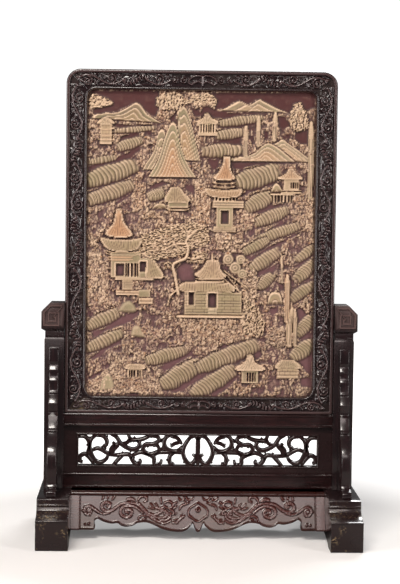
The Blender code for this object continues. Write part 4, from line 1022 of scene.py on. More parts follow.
# outline, height in mm, tuft size in mm, stretch across, warm, pale, shade
THICKETS = (
    ((-187, 933, -192, 975, -161, 988, -100, 988, -75, 963, -100, 938), 3.6, 3.4, 1.0, 0.15, 0.45, 0.0),
    ((-65, 962, -33, 987, 20, 995, 58, 978, 56, 944, 25, 962, -6, 952), 4.0, 3.2, 1.5, 0.2, 0.55, 0.0),
    ((-498, 950, -483, 980, -426, 970, -388, 953, -426, 946, -483, 942), 3.6, 3.0, 1.5, 0.15, 0.6, 0.0),
    ((388, 925, 405, 957, 426, 964, 453, 935, 466, 891, 433, 876, 392, 887), 3.8, 3.4, 1.0, 0.25, 0.4, 0.0),
    ((-250, 470, -215, 505, -130, 522, -75, 545, -30, 560, 10, 545, 20, 505, -40, 480, -90, 462, -180, 452),
     5.0, 2.9, 1.9, 0.15, 0.5, 0.1),
    ((-45, 440, -20, 470, 30, 470, 45, 455, 10, 440), 5.0, 2.8, 1.7, 0.25, 0.55, 0.05),
    ((60, 530, 75, 485, 120, 460, 160, 478, 170, 520, 110, 545), 5.2, 4.4, 1.0, 0.4, 0.6, 0.0),
    ((-290, 700, -310, 620, -285, 600, -240, 620, -245, 700), 4.2, 5.0, 0.45, 0.95, 0.35, 0.0),
    ((-30, 700, 20, 700, 50, 640, 40, 560, -10, 540, -30, 620), 4.6, 4.6, 0.6, 0.6, 0.45, 0.0),
    ((180, 620, 240, 600, 230, 550, 170, 545), 4.4, 3.6, 1.0, 0.35, 0.5, 0.0),
    ((420, 640, 500, 660, 500, 540, 440, 560, 400, 600), 3.9, 4.0, 0.8, 0.45, 0.45, 0.0),
    ((185, 400, 240, 430, 262, 380, 240, 300, 205, 260, 185, 330), 4.9, 3.4, 0.9, 0.35, 0.6, 0.0),
    ((-100, 258, 190, 256, 260, 240, 230, 190, 60, 160, -60, 175), 4.0, 4.6, 0.7, 0.5, 0.4, 0.1),
    ((-500, 470, -440, 470, -400, 380, -380, 300, -500, 290), 3.6, 4.6, 0.8, 0.3, 0.4, 0.05),
    ((-500, 30, -380, 110, -260, 140, -170, 40, -160, 5, -500, 5), 3.6, 4.0, 0.9, 0.3, 0.45, 0.05),
    ((380, 225, 300, 235, 290, 180, 360, 150, 385, 175), 4.0, 2.8, 1.0, 0.35, 0.5, 0.2),
)

# outline, height in mm, leaf length in mm, spacing in mm, lean in degrees
SPRAYS = (
    ((-300, 470, -255, 530, -150, 560, -75, 570, -30, 575, 30, 560, 40, 505, -30, 485, -80, 462, -200, 445),
     5.4, 3.4, 3.5, 8.0),
    ((-50, 440, -25, 475, 20, 478, 35, 458, 5, 438), 5.8, 3.2, 3.3, -20.0),
    ((-200, 940, -200, 980, -161, 992, -100, 990, -60, 965, -100, 936), 4.2, 3.6, 3.6, 65.0),
    ((-70, 960, -33, 990, 20, 996, 62, 980, 60, 942, 25, 958, -6, 950), 4.4, 3.6, 3.4, 10.0),
    ((-498, 948, -483, 984, -426, 975, -383, 953, -426, 942, -483, 938), 4.2, 3.6, 3.4, 12.0),
    ((383, 925, 405, 962, 426, 970, 456, 937, 470, 891, 433, 870, 387, 882), 4.4, 3.4, 3.5, 60.0),
    ((180, 250, 200, 330, 250, 300, 290, 250, 280, 200, 200, 205), 5.4, 3.2, 3.4, 60.0),
)

PINE = (-95, 335, -104, 370, -112, 400, -120, 431, -92, 445, -64, 455, -54, 485, -64, 509, -46, 530)
BOUGHS = (
    (-118, 428, -140, 440, -160, 432), (-64, 458, -30, 452, 12, 462),
    (-60, 500, -110, 500, -160, 482, -215, 478), (-98, 350, -130, 330, -140, 300),
    (-52, 520, -20, 545, 12, 552),
)
# line, width in mm, height in mm
BEAMS = (
    ((105, 414, 209, 358), 2.4, 5.8), ((92, 395, 182, 342), 2.0, 5.4), ((120, 398, 170, 352), 1.6, 5.2),
    ((145, 350, 155, 380), 1.6, 5.0),
)
# line, width in mm, height in mm, warm
PILLARS = (
    ((193, 794, 193, 885), 8.0, 3.4, 0.15), ((248, 826, 249, 918), 7.0, 3.3, 0.15),
    ((318, 845, 322, 930), 8.0, 3.6, 0.2), ((386, 250, 387, 340, 385, 400), 8.0, 5.0, 0.75),
    ((398, 172, 396, 230, 408, 292), 9.0, 5.2, 0.3), ((424, 172, 423, 230, 420, 285), 7.0, 4.6, 0.25),
    ((363, 378, 357, 470), 4.0, 4.0, 0.15), ((478, 660, 482, 780, 480, 900), 9.0, 3.4, 0.2),
    ((455, 300, 470, 325, 480, 290), 4.0, 4.6, 0.45),
)
TREES = ((122, 452, 8.0), (153, 424, 8.5), (178, 452, 7.0), (186, 404, 7.0))

OLIVE, SANDY, GOLDEN = Tone(0.05, 0.05), Tone(0.25, 0.35), Tone(0.95, 0.05)


def on_panel(numbers: Numbers) -> list[Point]:
    """Return places in millimetres from numbers in thousandths of the panel."""
    return [(x * 2 * HALF_SIGHT, SIGHT_BOTTOM + z * (SIGHT_TOP - SIGHT_BOTTOM)) for x, z in pairs(numbers)]


@dataclass
class Mason:
    """Carves the parts of the buildings; heights and widths are millimetres."""

    relief: Relief

    def wall(self, left: float, right: float, low: float, high: float, rise: float, courses: int = 0,
            tone: Tone = OLIVE) -> None:
        """Carve a wall, with courses of brick where it has them.

        Args:
            left: its left edge.
            right: its right edge.
            low: its foot.
            high: its top.
            rise: its height.
            courses: the courses of brick.
            tone: its colours.
        """
        (x0, z0), (x1, z1) = on_panel((left, low, right, high))
        self.relief.plate([(x0, z0), (x1, z0), (x1, z1), (x0, z1)], rise, 0.7, tone, rim=0.25)
        for course in range(1, courses):
            level = z0 + (z1 - z0) * course / courses
            self.relief.groove([(x0 + 0.6, level), (x1 - 0.6, level)], 1.3, 0.7, 0.45)
            count = round((x1 - x0) / 8.0)
            for brick in range(count):
                x = x0 + (x1 - x0) * (brick + 0.5 * (course % 2)) / count
                self.relief.groove([(x, level), (x, level + (z1 - z0) / courses)], 1.0, 0.4, 0.3)

    def door(self, left: float, right: float, low: float, high: float) -> None:
        """Carve a doorway with a pale frame, cut down to the dark layer.

        Args:
            left: its left edge.
            right: its right edge.
            low: its foot.
            high: its top.
        """
        (x0, z0), (x1, z1) = on_panel((left, low, right, high))
        frame_line = [(x0 - 1.2, z0), (x0 - 1.2, z1 + 1.2), (x1 + 1.2, z1 + 1.2), (x1 + 1.2, z0)]
        level = float(self.relief.sample(np.array([x0 - 1.0]), np.array([(z0 + z1) / 2]))[0])
        self.relief.stroke(frame_line, 2.0, min(level + 0.6, RELIEF_TOP), level * 0.7, (1.0, 1.0),
            tone=Tone(0.2, 0.6))
        self.relief.hollow([(x0, z0), (x1, z0), (x1, z1), (x0, z1)], 0.2, 0.8, 0.1)

    def bands(self, left: float, right: float, levels: Numbers, rise: float, lift: float = 3,
            width: float = 2.2, tone: Tone = SANDY) -> None:
        """Carve level mouldings whose ends turn up a little.

        Args:
            left: their left end.
            right: their right end.
            levels: where they run.
            rise: their height.
            lift: how far the ends turn up.
            width: their width.
            tone: their colours.
        """
        for level in levels:
            third = (right - left) / 3
            line = (left, level + lift, left + third * 0.5, level, left + third * 1.5, level - lift * 0.3,
                right - third * 0.5, level, right, level + lift)
            self.relief.stroke(smooth(on_panel(line)), width, rise, rise * 0.6, (0.8, 0.8), tone=tone)

    def posts(self, left: float, right: float, low: float, high: float, count: int, rise: float,
            width: float = 1.8) -> None:
        """Carve a row of posts over a dark gap.

        Args:
            left: the gap's left edge.
            right: its right edge.
            low: its foot.
            high: its top.
            count: the number of posts.
            rise: their height.
            width: their width.
        """
        (x0, z0), (x1, z1) = on_panel((left, low, right, high))
        self.relief.hollow([(x0, z0), (x1, z0), (x1, z1), (x0, z1)], 0.6, 0.8, 0.4)
        for place in range(count):
            x = x0 + (x1 - x0) * (place + 0.5) / count
            self.relief.stroke([(x, z0), (x, z1)], width, rise, rise * 0.6, (1.0, 1.0), tone=Tone(0.1, 0.7))

    def roof(self, outline: Numbers, rise: float, ribs: int, tone: Tone) -> None:
        """Carve a hollow-sided roof with tile ribs and a pale edge; its outline starts at its top.

        Args:
            outline: its corners.
            rise: its height.
            ribs: the number of tile ribs.
            tone: its colours.
        """
        area = smooth(on_panel((*outline, *outline[:2])), 3)[:-1]
        self.relief.plate(area, rise, 1.3, tone, rim=0.45)
        xs, zs = [p[0] for p in area], [p[1] for p in area]
        low, high = min(zs), max(zs)
        foot = [x for x, z in area if z < low + (high - low) * 0.3]
        head = [x for x, z in area if z > low + (high - low) * 0.8]
        for rib in range(1, ribs):
            share = rib / ribs
            x_low = min(foot) + (max(foot) - min(foot)) * share
            x_high = min(head) + (max(head) - min(head)) * share
            waist = x_high + (x_low - x_high) * 0.38
            run = [(x_high, high - 1.0), (waist, low + (high - low) * 0.42), (x_low, low + (high - low) * 0.1)]
            self.relief.groove(smooth(run, 4), 1.1, 0.55, 0.35)
        self.relief.stroke([(x, z) for x, z in area + area[:1]], 1.3, min(rise + 0.35, RELIEF_TOP), rise * 0.7,
            (1.0, 1.0), tone=Tone(tone.warm * 0.6, 0.42))

    def pagoda(self) -> None:
        """Carve the tall pagoda with its cone roof, two skirts and doorway."""
        self.wall(55, 156, 540, 560, 4.4, 3, SANDY)
        self.wall(66, 143, 558, 645, 4.8)
        self.door(88, 122, 568, 611)
        self.wall(50, 188, 620, 644, 5.3, 3, SANDY)
        self.posts(52, 160, 645, 657, 7, 5.2)
        self.roof((67, 678, 139, 678, 180, 682, 158, 657, 47, 657, 18, 682), 5.7, 13, Tone(0.55, 0.1))
        self.bands(50, 148, (688, 700), 6.0, tone=Tone(0.35, 0.6))
        self.roof((96, 786, 124, 786, 123, 766, 127, 748, 134, 733, 146, 716, 103, 710, 55, 716, 74, 733, 83,
            747, 95, 766), 6.4, 8, GOLDEN)

    def west_hall(self) -> None:
        """Carve the large hall at the left with its cone roof, skirt, doors, side wing and terrace."""
        self.wall(-374, -205, 380, 391, 4.6, 0, SANDY)
        self.wall(-395, -262, 388, 472, 4.6)
        self.wall(-270, -222, 390, 452, 4.3)
        self.door(-371, -335, 394, 434)
        self.door(-266, -236, 407, 441)
        self.posts(-330, -272, 392, 436, 4, 4.9)
        self.bands(-402, -300, (447, 455), 5.2, 1, 2.8, Tone(0.75, 0.3))
        self.roof((-395, 512, -306, 512, -262, 516, -278, 484, -342, 474, -407, 482, -440, 516), 5.6, 16,
            Tone(0.2, 0.1))
        self.bands(-412, -266, (463, 471), 5.3, 4, 2.0)
        self.roof((-370, 612, -352, 612, -345, 588, -334, 564, -300, 528, -356, 520, -418, 530, -387, 561, -377,
            588), 6.0, 9, GOLDEN)
        self.roof((-234, 446, -206, 446, -185, 425, -160, 392, -200, 386, -240, 392), 4.9, 6, Tone(0.2, 0.15))
        self.wall(-345, -297, 348, 380, 4.2, 5, SANDY)
        self.wall(-372, -269, 330, 347, 4.8, 2, Tone(0.7, 0.3))
        self.wall(-271, -206, 302, 322, 4.4, 2, Tone(0.65, 0.35))
        self.wall(-270, -218, 325, 350, 3.8)

    def great_hall(self) -> None:
        """Carve the wide brick hall in the middle, on its pale ledge, with its two roofs."""
        self.wall(-70, 186, 268, 344, 5.0, 8, Tone(0.15, 0.15))
        self.door(36, 74, 293, 341)
        self.door(-50, -26, 300, 344)
        self.wall(34, 76, 268, 290, 5.5, 2, Tone(0.0, 0.35))
        self.roof((-60, 376, 110, 374, 146, 360, 130, 343, -70, 345, -88, 366), 5.8, 18, Tone(0.25, 0.2))
        self.bands(-20, 104, (378, 386), 6.0, 2, 2.2, Tone(0.3, 0.5))
        self.roof((30, 448, 76, 448, 86, 423, 98, 409, 116, 398, 89, 388, 15, 388, -24, 401, -2, 415, 18, 431),
            6.5, 10, Tone(0.35, 0.3))
        self.bands(-98, 190, (262,), 5.8, 0, 4.0, Tone(0.55, 0.75))
        (x, low), (_, high) = on_panel((53, 446, 53, 468))
        self.relief.stroke([(x, low), (x, high)], 3.4, 6.4, 1.0, (1.0, 0.5), tone=Tone(0.2, 0.7))

    def small_halls(self) -> None:
        """Carve the kiosks and towers near the edges."""
        self.wall(-18, 68, 853, 868, 4.0, 0, SANDY)
        self.posts(-14, 62, 866, 893, 7, 4.2, 2.2)
        self.roof((14, 926, 27, 926, 41, 911, 68, 902, 58, 893, -9, 893, -20, 902, 4, 911), 4.6, 7,
            Tone(0.25, 0.4))
        self.wall(-447, -393, 822, 892, 4.0, 6, Tone(0.3, 0.25))
        self.bands(-456, -385, (872, 852, 838), 4.5, 2, 2.0, Tone(0.55, 0.5))
        self.roof((-432, 908, -412, 908, -385, 890, -458, 890), 4.6, 6, SANDY)
        self.wall(361, 431, 680, 716, 4.4, 0, SANDY)
        self.posts(385, 425, 686, 706, 4, 4.6, 1.6)
        self.bands(352, 440, (672, 680), 4.6, 0, 1.8)
        self.roof((384, 748, 402, 748, 414, 732, 444, 718, 336, 718, 370, 732), 5.0, 7, Tone(0.65, 0.25))
        self.bands(306, 404, (666,), 4.6, 0, 2.4)
        self.posts(312, 400, 641, 662, 6, 4.2, 2.0)
        self.wall(187, 264, 44, 88, 4.2, 0, Tone(0.0, 0.05))
        self.posts(205, 250, 48, 80, 4, 4.2, 1.8)
        self.roof((214, 136, 236, 136, 245, 114, 288, 96, 281, 87, 171, 87, 164, 96, 203, 114), 5.2, 9,
            Tone(0.1, 0.65))
        self.wall(-146, -55, 616, 656, 4.0, 0, OLIVE)
        self.roof((-132, 684, -96, 684, -75, 664, -48, 645, -70, 636, -138, 636, -160, 648), 4.8, 8,
            Tone(0.25, 0.15))
        self.bands(-150, -50, (612, 622), 4.6, 3, 2.0)
        self.wall(-317, -251, 60, 90, 4.2, 0, SANDY)
        self.posts(-310, -258, 62, 84, 4, 4.2)
        self.roof((-310, 104, -258, 104, -240, 90, -328, 90), 4.8, 8, SANDY)
        self.wall(345, 440, 60, 96, 3.8, 3, SANDY)
        self.roof((366, 120, 418, 120, 448, 96, 336, 96), 4.4, 9, Tone(0.15, 0.3))

    def build_all(self) -> None:
        """Carve every building."""
        self.small_halls()
        self.west_hall()
        self.pagoda()
        self.great_hall()


@dataclass
class StonePanel:
    """The carved slab: its relief, its plain edges in the frame's groove and its plain back."""

    step_mm: float = 1.25
    finish: LayeredStone = field(default_factory=LayeredStone)
    relief: Relief = field(init=False)

    def __post_init__(self) -> None:
        """Lay out the empty field."""
        self.relief = Relief(-HALF_SIGHT - 0.2, HALF_SIGHT + 0.2, SIGHT_BOTTOM - 0.2, SIGHT_TOP + 0.2,
            self.step_mm)

    def carve_rocks(self) -> None:
        """Fill the whole panel with crumbly rocks and leaves of several sizes."""
        u, v = np.meshgrid(self.relief.us, self.relief.vs, indexing="ij")
        wide = clouds(u, v, 30.0, 2)
        self.heap((slice(None), slice(None)), u, v, np.full(u.shape, 9.0), 3.4, 5.0, 0.72,
            Tone(0.2, 0.08, 0.05))
        self.relief.tones["warm"] += 0.5 * (wide - 0.5)
        hollows = ramp(clouds(u, v, 8.0, 31), 0.6, 0.72)
        self.relief.height *= 1 - 0.75 * hollows

    def heap(self, where: tuple[slice, slice], u: Array, v: Array, deep: Array, rise: float, size: float,
            stretch: float, tone: Tone) -> None:
        """Carve a heap of lumps in two sizes, warped so that no two look alike.

        Args:
            where: the window of the field.
            u: places across in the window.
            v: places up in the window.
            deep: how far each place lies inside the heap.
            rise: the height of the heap in millimetres.
            size: the spacing of its larger lumps.
            stretch: how much wider than tall its lumps are.
            tone: its colours.
        """
        seed = round(abs(u.flat[0]) * 3 + v.flat[0] + size * 7)
        warp_u = u + 4.5 * (clouds(u, v, size * 2.2, seed + 1) - 0.5)
        warp_v = v + 4.5 * (clouds(u, v, size * 2.2, seed + 2) - 0.5)
        first, second, own = pebbles(warp_u / stretch, warp_v * min(stretch, 1.4), size, seed)
        fine_first, fine_second, fine_own = pebbles(warp_u, warp_v, size * 0.52, seed + 3)
        lump = np.sqrt(np.clip(1 - first * first * 1.6, 0, 1)) * ramp(second - first, 0.02, 0.3)
        fine = np.clip(1 - fine_first * fine_first * 1.5, 0, 1) * ramp(fine_second - fine_first, 0.0, 0.25)
        height = rise * (0.2 + 0.38 * own + 0.48 * lump * (0.35 + 0.65 * own)) + 1.1 * (fine - 0.4)
        height += 2.2 * (clouds(u, v, size * 3.0, seed + 9) - 0.5)
        # Painted shade in the pits and cracks between lumps, and a painted highlight on the lumps' crowns.
        cracks = 1 - ramp(fine_second - fine_first, 0, 0.15)
        pits = np.clip(1 - ramp(second - first, 0.02, 0.22) + 0.5 * cracks, 0, 1)
        rubbly = 0.1 + 0.9 * ramp(clouds(u, v, 18.0, seed + 5), 0.5, 0.64)
        fade = ramp(deep, 0.0, 1.8)
        crown = ramp(height, rise * 0.7, rise * 1.15)
        self.relief.lay(where, np.where(deep > 0, np.maximum(height, 0.35) * fade, 0.0),
            warm=np.clip(tone.warm + 0.5 * (fine_own - 0.5), 0, 1),
            pale=np.clip(tone.pale + 0.65 * crown * fine + 0.25 * (own - 0.5), 0, 1),
            shade=np.clip(tone.shade + 0.7 * pits, 0, 1), rocky=ramp(deep, 1.0, 2.0) * rubbly)

    def carve_thicket(self, outline: Numbers, rise: float, size: float, stretch: float, warm: float,
            pale: float, shade: float) -> None:
        """Carve leaves or rubble over an area, higher than the rocks around.

        Args:
            outline: the area.
            rise: its height in millimetres.
            size: the spacing of its lumps in millimetres.
            stretch: how much wider than tall they are.
            warm: how orange it is.
            pale: how pale it is.
            shade: how dark it is.
        """
        area = on_panel(outline)
        where, u, v = self.relief.window(area, size)
        deep = inside_distance(u, v, area) + size * 0.8 * (clouds(u, v, size * 1.3, 17) - 0.5)
        self.heap(where, u, v, deep, rise, size, stretch, Tone(warm, pale, shade))

    def carve_sprays(self, outline: Numbers, rise: float, length: float, spacing: float, lean: float) -> None:
        """Carve sprays of small pale leaves over dark gaps, on an area.

        Args:
            outline: the area.
            rise: the height of the highest leaves in millimetres.
            length: the length of a leaf.
            spacing: the distance between leaves.
            lean: the angle of the leaves in degrees, to which each adds its own.
        """
        area = on_panel(outline)
        where, u, v = self.relief.window(area, 1.0)
        deep = inside_distance(u, v, area) + 3.0 * (clouds(u, v, 7.0, 41) - 0.5)
        under = ramp(deep, 0.0, 2.0) * ramp(clouds(u, v, 9.0, 43), 0.3, 0.45)
        self.relief.height[where] += (rise * 0.42 - self.relief.height[where]) * under
        # The gaps under the leaves are painted darker: painted shade.
        self.relief.tones["shade"][where] = np.maximum(self.relief.tones["shade"][where], 0.62 * under)
        self.relief.tones["rocky"][where] *= 1 - under
        xs, zs = [p[0] for p in area], [p[1] for p in area]
        columns, rows = round((max(xs) - min(xs)) / spacing), round((max(zs) - min(zs)) / (spacing * 0.62))
        column, row = (part.ravel() for part in np.meshgrid(np.arange(columns + 1), np.arange(rows + 1)))
        x = min(xs) + spacing * (column + 0.5 * (row % 2) + 0.7 * (chance(column, row, 3) - 0.5))
        z = min(zs) + spacing * 0.62 * (row + 0.7 * (chance(column, row, 5) - 0.5))
        kept = inside_distance(x, z, area) > 0.3
        own = chance(column, row, 7)
        turns = np.radians(lean + 70 * (chance(column, row, 9) - 0.5))
        for px, pz, share, turn in zip(x[kept], z[kept], own[kept], turns[kept]):
            reach_x, reach_z = length / 2 * math.cos(turn), length / 2 * math.sin(turn)
            line = [(px - reach_x, pz - reach_z), (px + reach_x * 0.3, pz + reach_z * 0.3 + 0.3),
                (px + reach_x, pz + reach_z)]
            self.relief.stroke(line, 1.9, rise * (0.72 + 0.28 * share), rise * 0.42, (0.8, 0.5),
                tone=Tone(0.3, 0.25 + 0.6 * share))

    def carve_channel(self, outline: Numbers) -> None:
        """Cut through to the dark ground, with a wavy edge.

        Args:
            outline: the channel's corners.
        """
        area = on_panel(outline)
        where, u, v = self.relief.window(area, 2.0)
        deep = inside_distance(u, v, area) + 1.2 * (clouds(u, v, 4.0, 23) - 0.35)
        floor = 0.1 + 0.35 * clouds(u, v, 6.0, 3)
        share = ramp(deep, -0.4, 0.9)
        here = self.relief.height[where]
        self.relief.height[where] = here + (np.minimum(floor, here) - here) * share
        for name in self.relief.tones:
            self.relief.tones[name][where] *= 1 - share

    def carve_hill(self, skyline: Numbers, rise: float, nested: int, warm: float, pale: float) -> None:
        """Carve a hill with nested terraces that follow its skyline, each with a pale lip.

        Args:
            skyline: its outline from the left foot over the top to the right foot.
            rise: the height of the innermost terrace in millimetres.
            nested: the number of terraces.
            warm: how orange the middle is.
            pale: how pale the terraces are.
        """
        line = np.array(smooth(on_panel(skyline), 4))
        line = line[np.argsort(line[:, 0], kind="stable")]
        where, u, v = self.relief.window(line, 2.5)
        left, right = line[0], line[-1]
        middle_x = line[np.argmax(line[:, 1]), 0] * 0.5 + (left[0] + right[0]) / 4
        floor = left[1] + (right[1] - left[1]) * (u - left[0]) / (right[0] - left[0])
        base = left[1] + (right[1] - left[1]) * (line[:, 0] - left[0]) / (right[0] - left[0])
        tall = line[:, 1] - base
        low, high = np.full(u.shape, 1e-3), np.full(u.shape, 1.5)
        for _ in range(20):
            scale = (low + high) / 2
            outline = np.interp(middle_x + (u - middle_x) / scale, line[:, 0], tall, left=0.0, right=0.0)
            above = scale * outline > v - floor
            high = np.where(above, scale, high)
            low = np.where(above, low, scale)
        depth = 1 - (low + high) / 2
        inside = (depth > 0) & (v > floor)
        turn = depth * (nested + 0.8) + 0.06 * (clouds(u, v, 8.0, nested) - 0.5)
        layer = np.floor(turn)
        part = turn - layer
        lip = np.exp(-((part - 0.2) / 0.13) ** 2)
        terrace = np.minimum((layer + ramp(part, 0.0, 0.2)) / (nested + 1) * 1.5, 1.0)
        height = rise * (0.6 + 0.4 * terrace) + 0.5 * lip - 0.45 * (1 - ramp(part, 0.0, 0.12)) * (layer > 0)
        foot_fade = ramp(v - floor, 0.0, 1.6 if nested > 1 else 7.0)
        moat = ramp(-depth * tall.max(), 0.0, 2.0)
        self.relief.height[where] = np.where((v > floor - 1.0) & ~inside,
            self.relief.height[where] * np.maximum(moat, 0.25), self.relief.height[where])
        self.relief.height[where] = np.where(inside & (height > 0), 0.0, self.relief.height[where])
        # The grooves at each terrace step are painted darker: painted shade.
        self.relief.lay(where, np.where(inside, np.maximum(height * foot_fade, 0.05), 0.0),
            warm=warm * ramp(depth, 0.1, 0.6), pale=np.clip(pale + 0.8 * lip, 0, 1),
            shade=np.where(layer > 0, 0.6 * (1 - ramp(part, 0.0, 0.1)), 0.0) + 0.3 * ramp(part, 0.85, 1.0))

    def carve_bank(self, ends: Numbers, width: float, rise: float, spacing: float) -> None:
        """Carve a bank of leaning, curved ribs with a scalloped upper edge and pale crests.

        Args:
            ends: the places of both ends.
            width: its width.
            rise: its height in millimetres.
            spacing: the distance between ribs in millimetres.
        """
        (x0, z0), (x1, z1) = on_panel(ends)
        half = width / 1000 * (SIGHT_TOP - SIGHT_BOTTOM) / 2
        where, u, v = self.relief.window([(x0, z0), (x1, z1)], half * 1.8)
        length = math.hypot(x1 - x0, z1 - z0)
        along_x, along_z = (x1 - x0) / length, (z1 - z0) / length
        along = (u - x0) * along_x + (v - z0) * along_z
        across = (v - z0) * along_x - (u - x0) * along_z
        seed = round(abs(x0) * 10 + z0)
        bend = 0.08 * across + 0.026 * across ** 2 + 3.4 * clouds(u, v, 11.0, seed)
        count = max(3, round(length / spacing))
        phase = (along + bend) / length * count
        part = phase - np.floor(phase)
        rib = np.sin(np.pi * part) ** 0.5
        own = chance(np.floor(phase), np.zeros_like(phase), seed)
        share = np.clip(along / length, 0.0, 1.0)
        swell = 0.72 + 0.28 * np.sin(np.pi * share)
        uneven = 5.0 * (clouds(u, v, 6.0, seed + 5) - 0.5)
        fade = 1 - np.clip(np.abs(2 * (along + uneven) / length - 1) / (1 + 2.0 * spacing / length), 0, 1) ** 4
        edge = half * swell * (0.86 + 0.14 * rib + 0.24 * clouds(u, v, 9.0, seed + 2))
        low_edge = half * swell * (0.9 + 0.12 * rib + 0.22 * clouds(u, v, 7.0, seed + 1))
        place = np.where(across > 0, across / edge, across / low_edge)
        inside = np.abs(place) < 1
        near = (np.abs(place) < 1.08) & (fade > 0.42)
        self.relief.height[where] = np.where(near, 0.15, self.relief.height[where])
        self.relief.tones["rocky"][where] = np.where(near, 0.0, self.relief.tones["rocky"][where])
        dome = np.where(place > 0, np.clip(1 - np.abs(place) ** 5.0, 0.0, 1.0) ** 0.6,
            np.clip(1 - np.abs(place) ** 2.2, 0.0, 1.0)) * ramp(fade, 0.0, 0.85)
        height = rise * dome * (0.64 + 0.36 * rib) * (0.86 + 0.18 * own)
        crest = np.exp(-((part - 0.3) / 0.13) ** 2)
        rim = ramp(place, 0.66, 0.9)
        pale = (0.95 * crest * ramp(dome, 0.2, 0.8) + 0.15 * rim) * (0.35 + clouds(u, v, 10.0, seed + 3))
        # The rib grooves and the bank's edges are painted darker: painted shade.
        shade = 0.1 + 0.5 * (1 - ramp(rib, 0.25, 0.85)) + 0.2 * (1 - ramp(dome, 0.2, 0.7))
        self.relief.lay(where, np.where(inside, height, 0.0), warm=0.15, pale=np.clip(pale, 0, 1),
            shade=np.clip(shade, 0, 1))

    def carve_pillar(self, line: Numbers, width: float, rise: float, warm: float) -> None:
        """Carve an upright fluted stone with a rounded head.

        Args:
            line: its middle line from the foot up.
            width: its width.
            rise: its height.
            warm: how orange it is.
        """
        run = smooth(on_panel(line), 4)
        self.relief.stroke(run, width, rise, rise * 0.5, (0.9, 0.55), tone=Tone(warm, 0.4))
        for share in (-0.25, 0.08, 0.32):
            self.relief.groove([(x + width * share, z + 1.5 * share) for x, z in run[:-2]], 1.4, 0.9, 0.5)

    def carve_tree(self, x: float, z: float, radius: float) -> None:
        """Carve a round tree as a knobbly disc with a dark hole and a pale ring.

        Args:
            x: its place across.
            z: its place up.
            radius: its radius in millimetres.
        """
        (px, pz), = on_panel((x, z))
        where, u, v = self.relief.window([(px, pz)], radius * 1.2)
        away = np.hypot(u - px, v - pz) / (radius * 0.95 + 1.2 * clouds(u, v, 3.0, 8))
        ring = np.exp(-((away - 0.75) / 0.16) ** 2) + np.exp(-((away - 0.3) / 0.14) ** 2)
        height = 4.0 * np.sqrt(np.clip(1 - away ** 2, 0, 1)) ** 0.5 + 0.8 * ring
        self.relief.lay(where, np.where(away < 1, height, 0.0), warm=0.1, pale=0.55 * np.clip(ring, 0, 1),
            shade=0.45 * (1 - np.clip(ring, 0, 1)))

    def carve(self) -> None:
        """Carve the whole landscape, from the far hills to the near buildings."""
        self.carve_rocks()
        for channel in CHANNELS:
            self.carve_channel(channel)
        for hill in HILLS[:7]:
            self.carve_hill(*hill)
        for bank in BANKS:
            self.carve_bank(*bank)
        for thicket in THICKETS:
            self.carve_thicket(*thicket)
        for skyline, rise, nested, warm, pale in HILLS[7:]:
            if nested:
                self.carve_hill(skyline, rise, nested, warm, pale)
            else:
                self.relief.plate(smooth(on_panel((*skyline, *skyline[:2])), 4)[:-1], rise, 4.5,
                    Tone(warm, pale), rim=0.1)
        for sprays in SPRAYS:
            self.carve_sprays(*sprays)
        for pillar in PILLARS:
            self.carve_pillar(*pillar)
        for tree in TREES:
            self.carve_tree(*tree)
        Mason(self.relief).build_all()
        for line, width, rise in BEAMS:
            self.relief.stroke(on_panel(line), width, rise, rise * 0.5, (1.0, 1.0), tone=Tone(0.1, 0.55))
        self.relief.stroke(smooth(on_panel(PINE)), 4.4, 6.2, 2.5, (1.0, 0.6), tone=Tone(0.35, 0.7))
        for number, (x, z) in enumerate(smooth(on_panel(PINE), 3)):
            self.relief.bud((x + 1.2 * math.sin(2.4 * number), z), 1.5, 6.4, 3.0, tone=Tone(0.4, 0.75))
        for bough in BOUGHS:
            self.relief.stroke(smooth(on_panel(bough)), 2.4, 6.0, 2.5, (1.0, 0.4), tone=Tone(0.35, 0.65))
        self.relief.height = np.clip(self.relief.height, 0.0, RELIEF_TOP)

    def paint_shade_and_highlights(self) -> None:
        """Paint shade into the cuts between forms; paint high edges paler, partly wear and partly painted
        highlight.
        """
        height = self.relief.height
        for reach, depth, most in ((2, 1.0, 0.8), (6, 3.2, 0.62)):
            below = np.clip((spread(height, reach) - height) / depth, 0.0, 1.0)
            above = np.clip((height - spread(height, reach)) / depth, 0.0, 1.0)
            shade = self.relief.tones["shade"]
            self.relief.tones["shade"] = np.clip(shade + most * below * (1 - shade), 0.0, 1.0)
            self.relief.tones["pale"] = np.clip(self.relief.tones["pale"] + 0.35 * above, 0.0, 1.0)

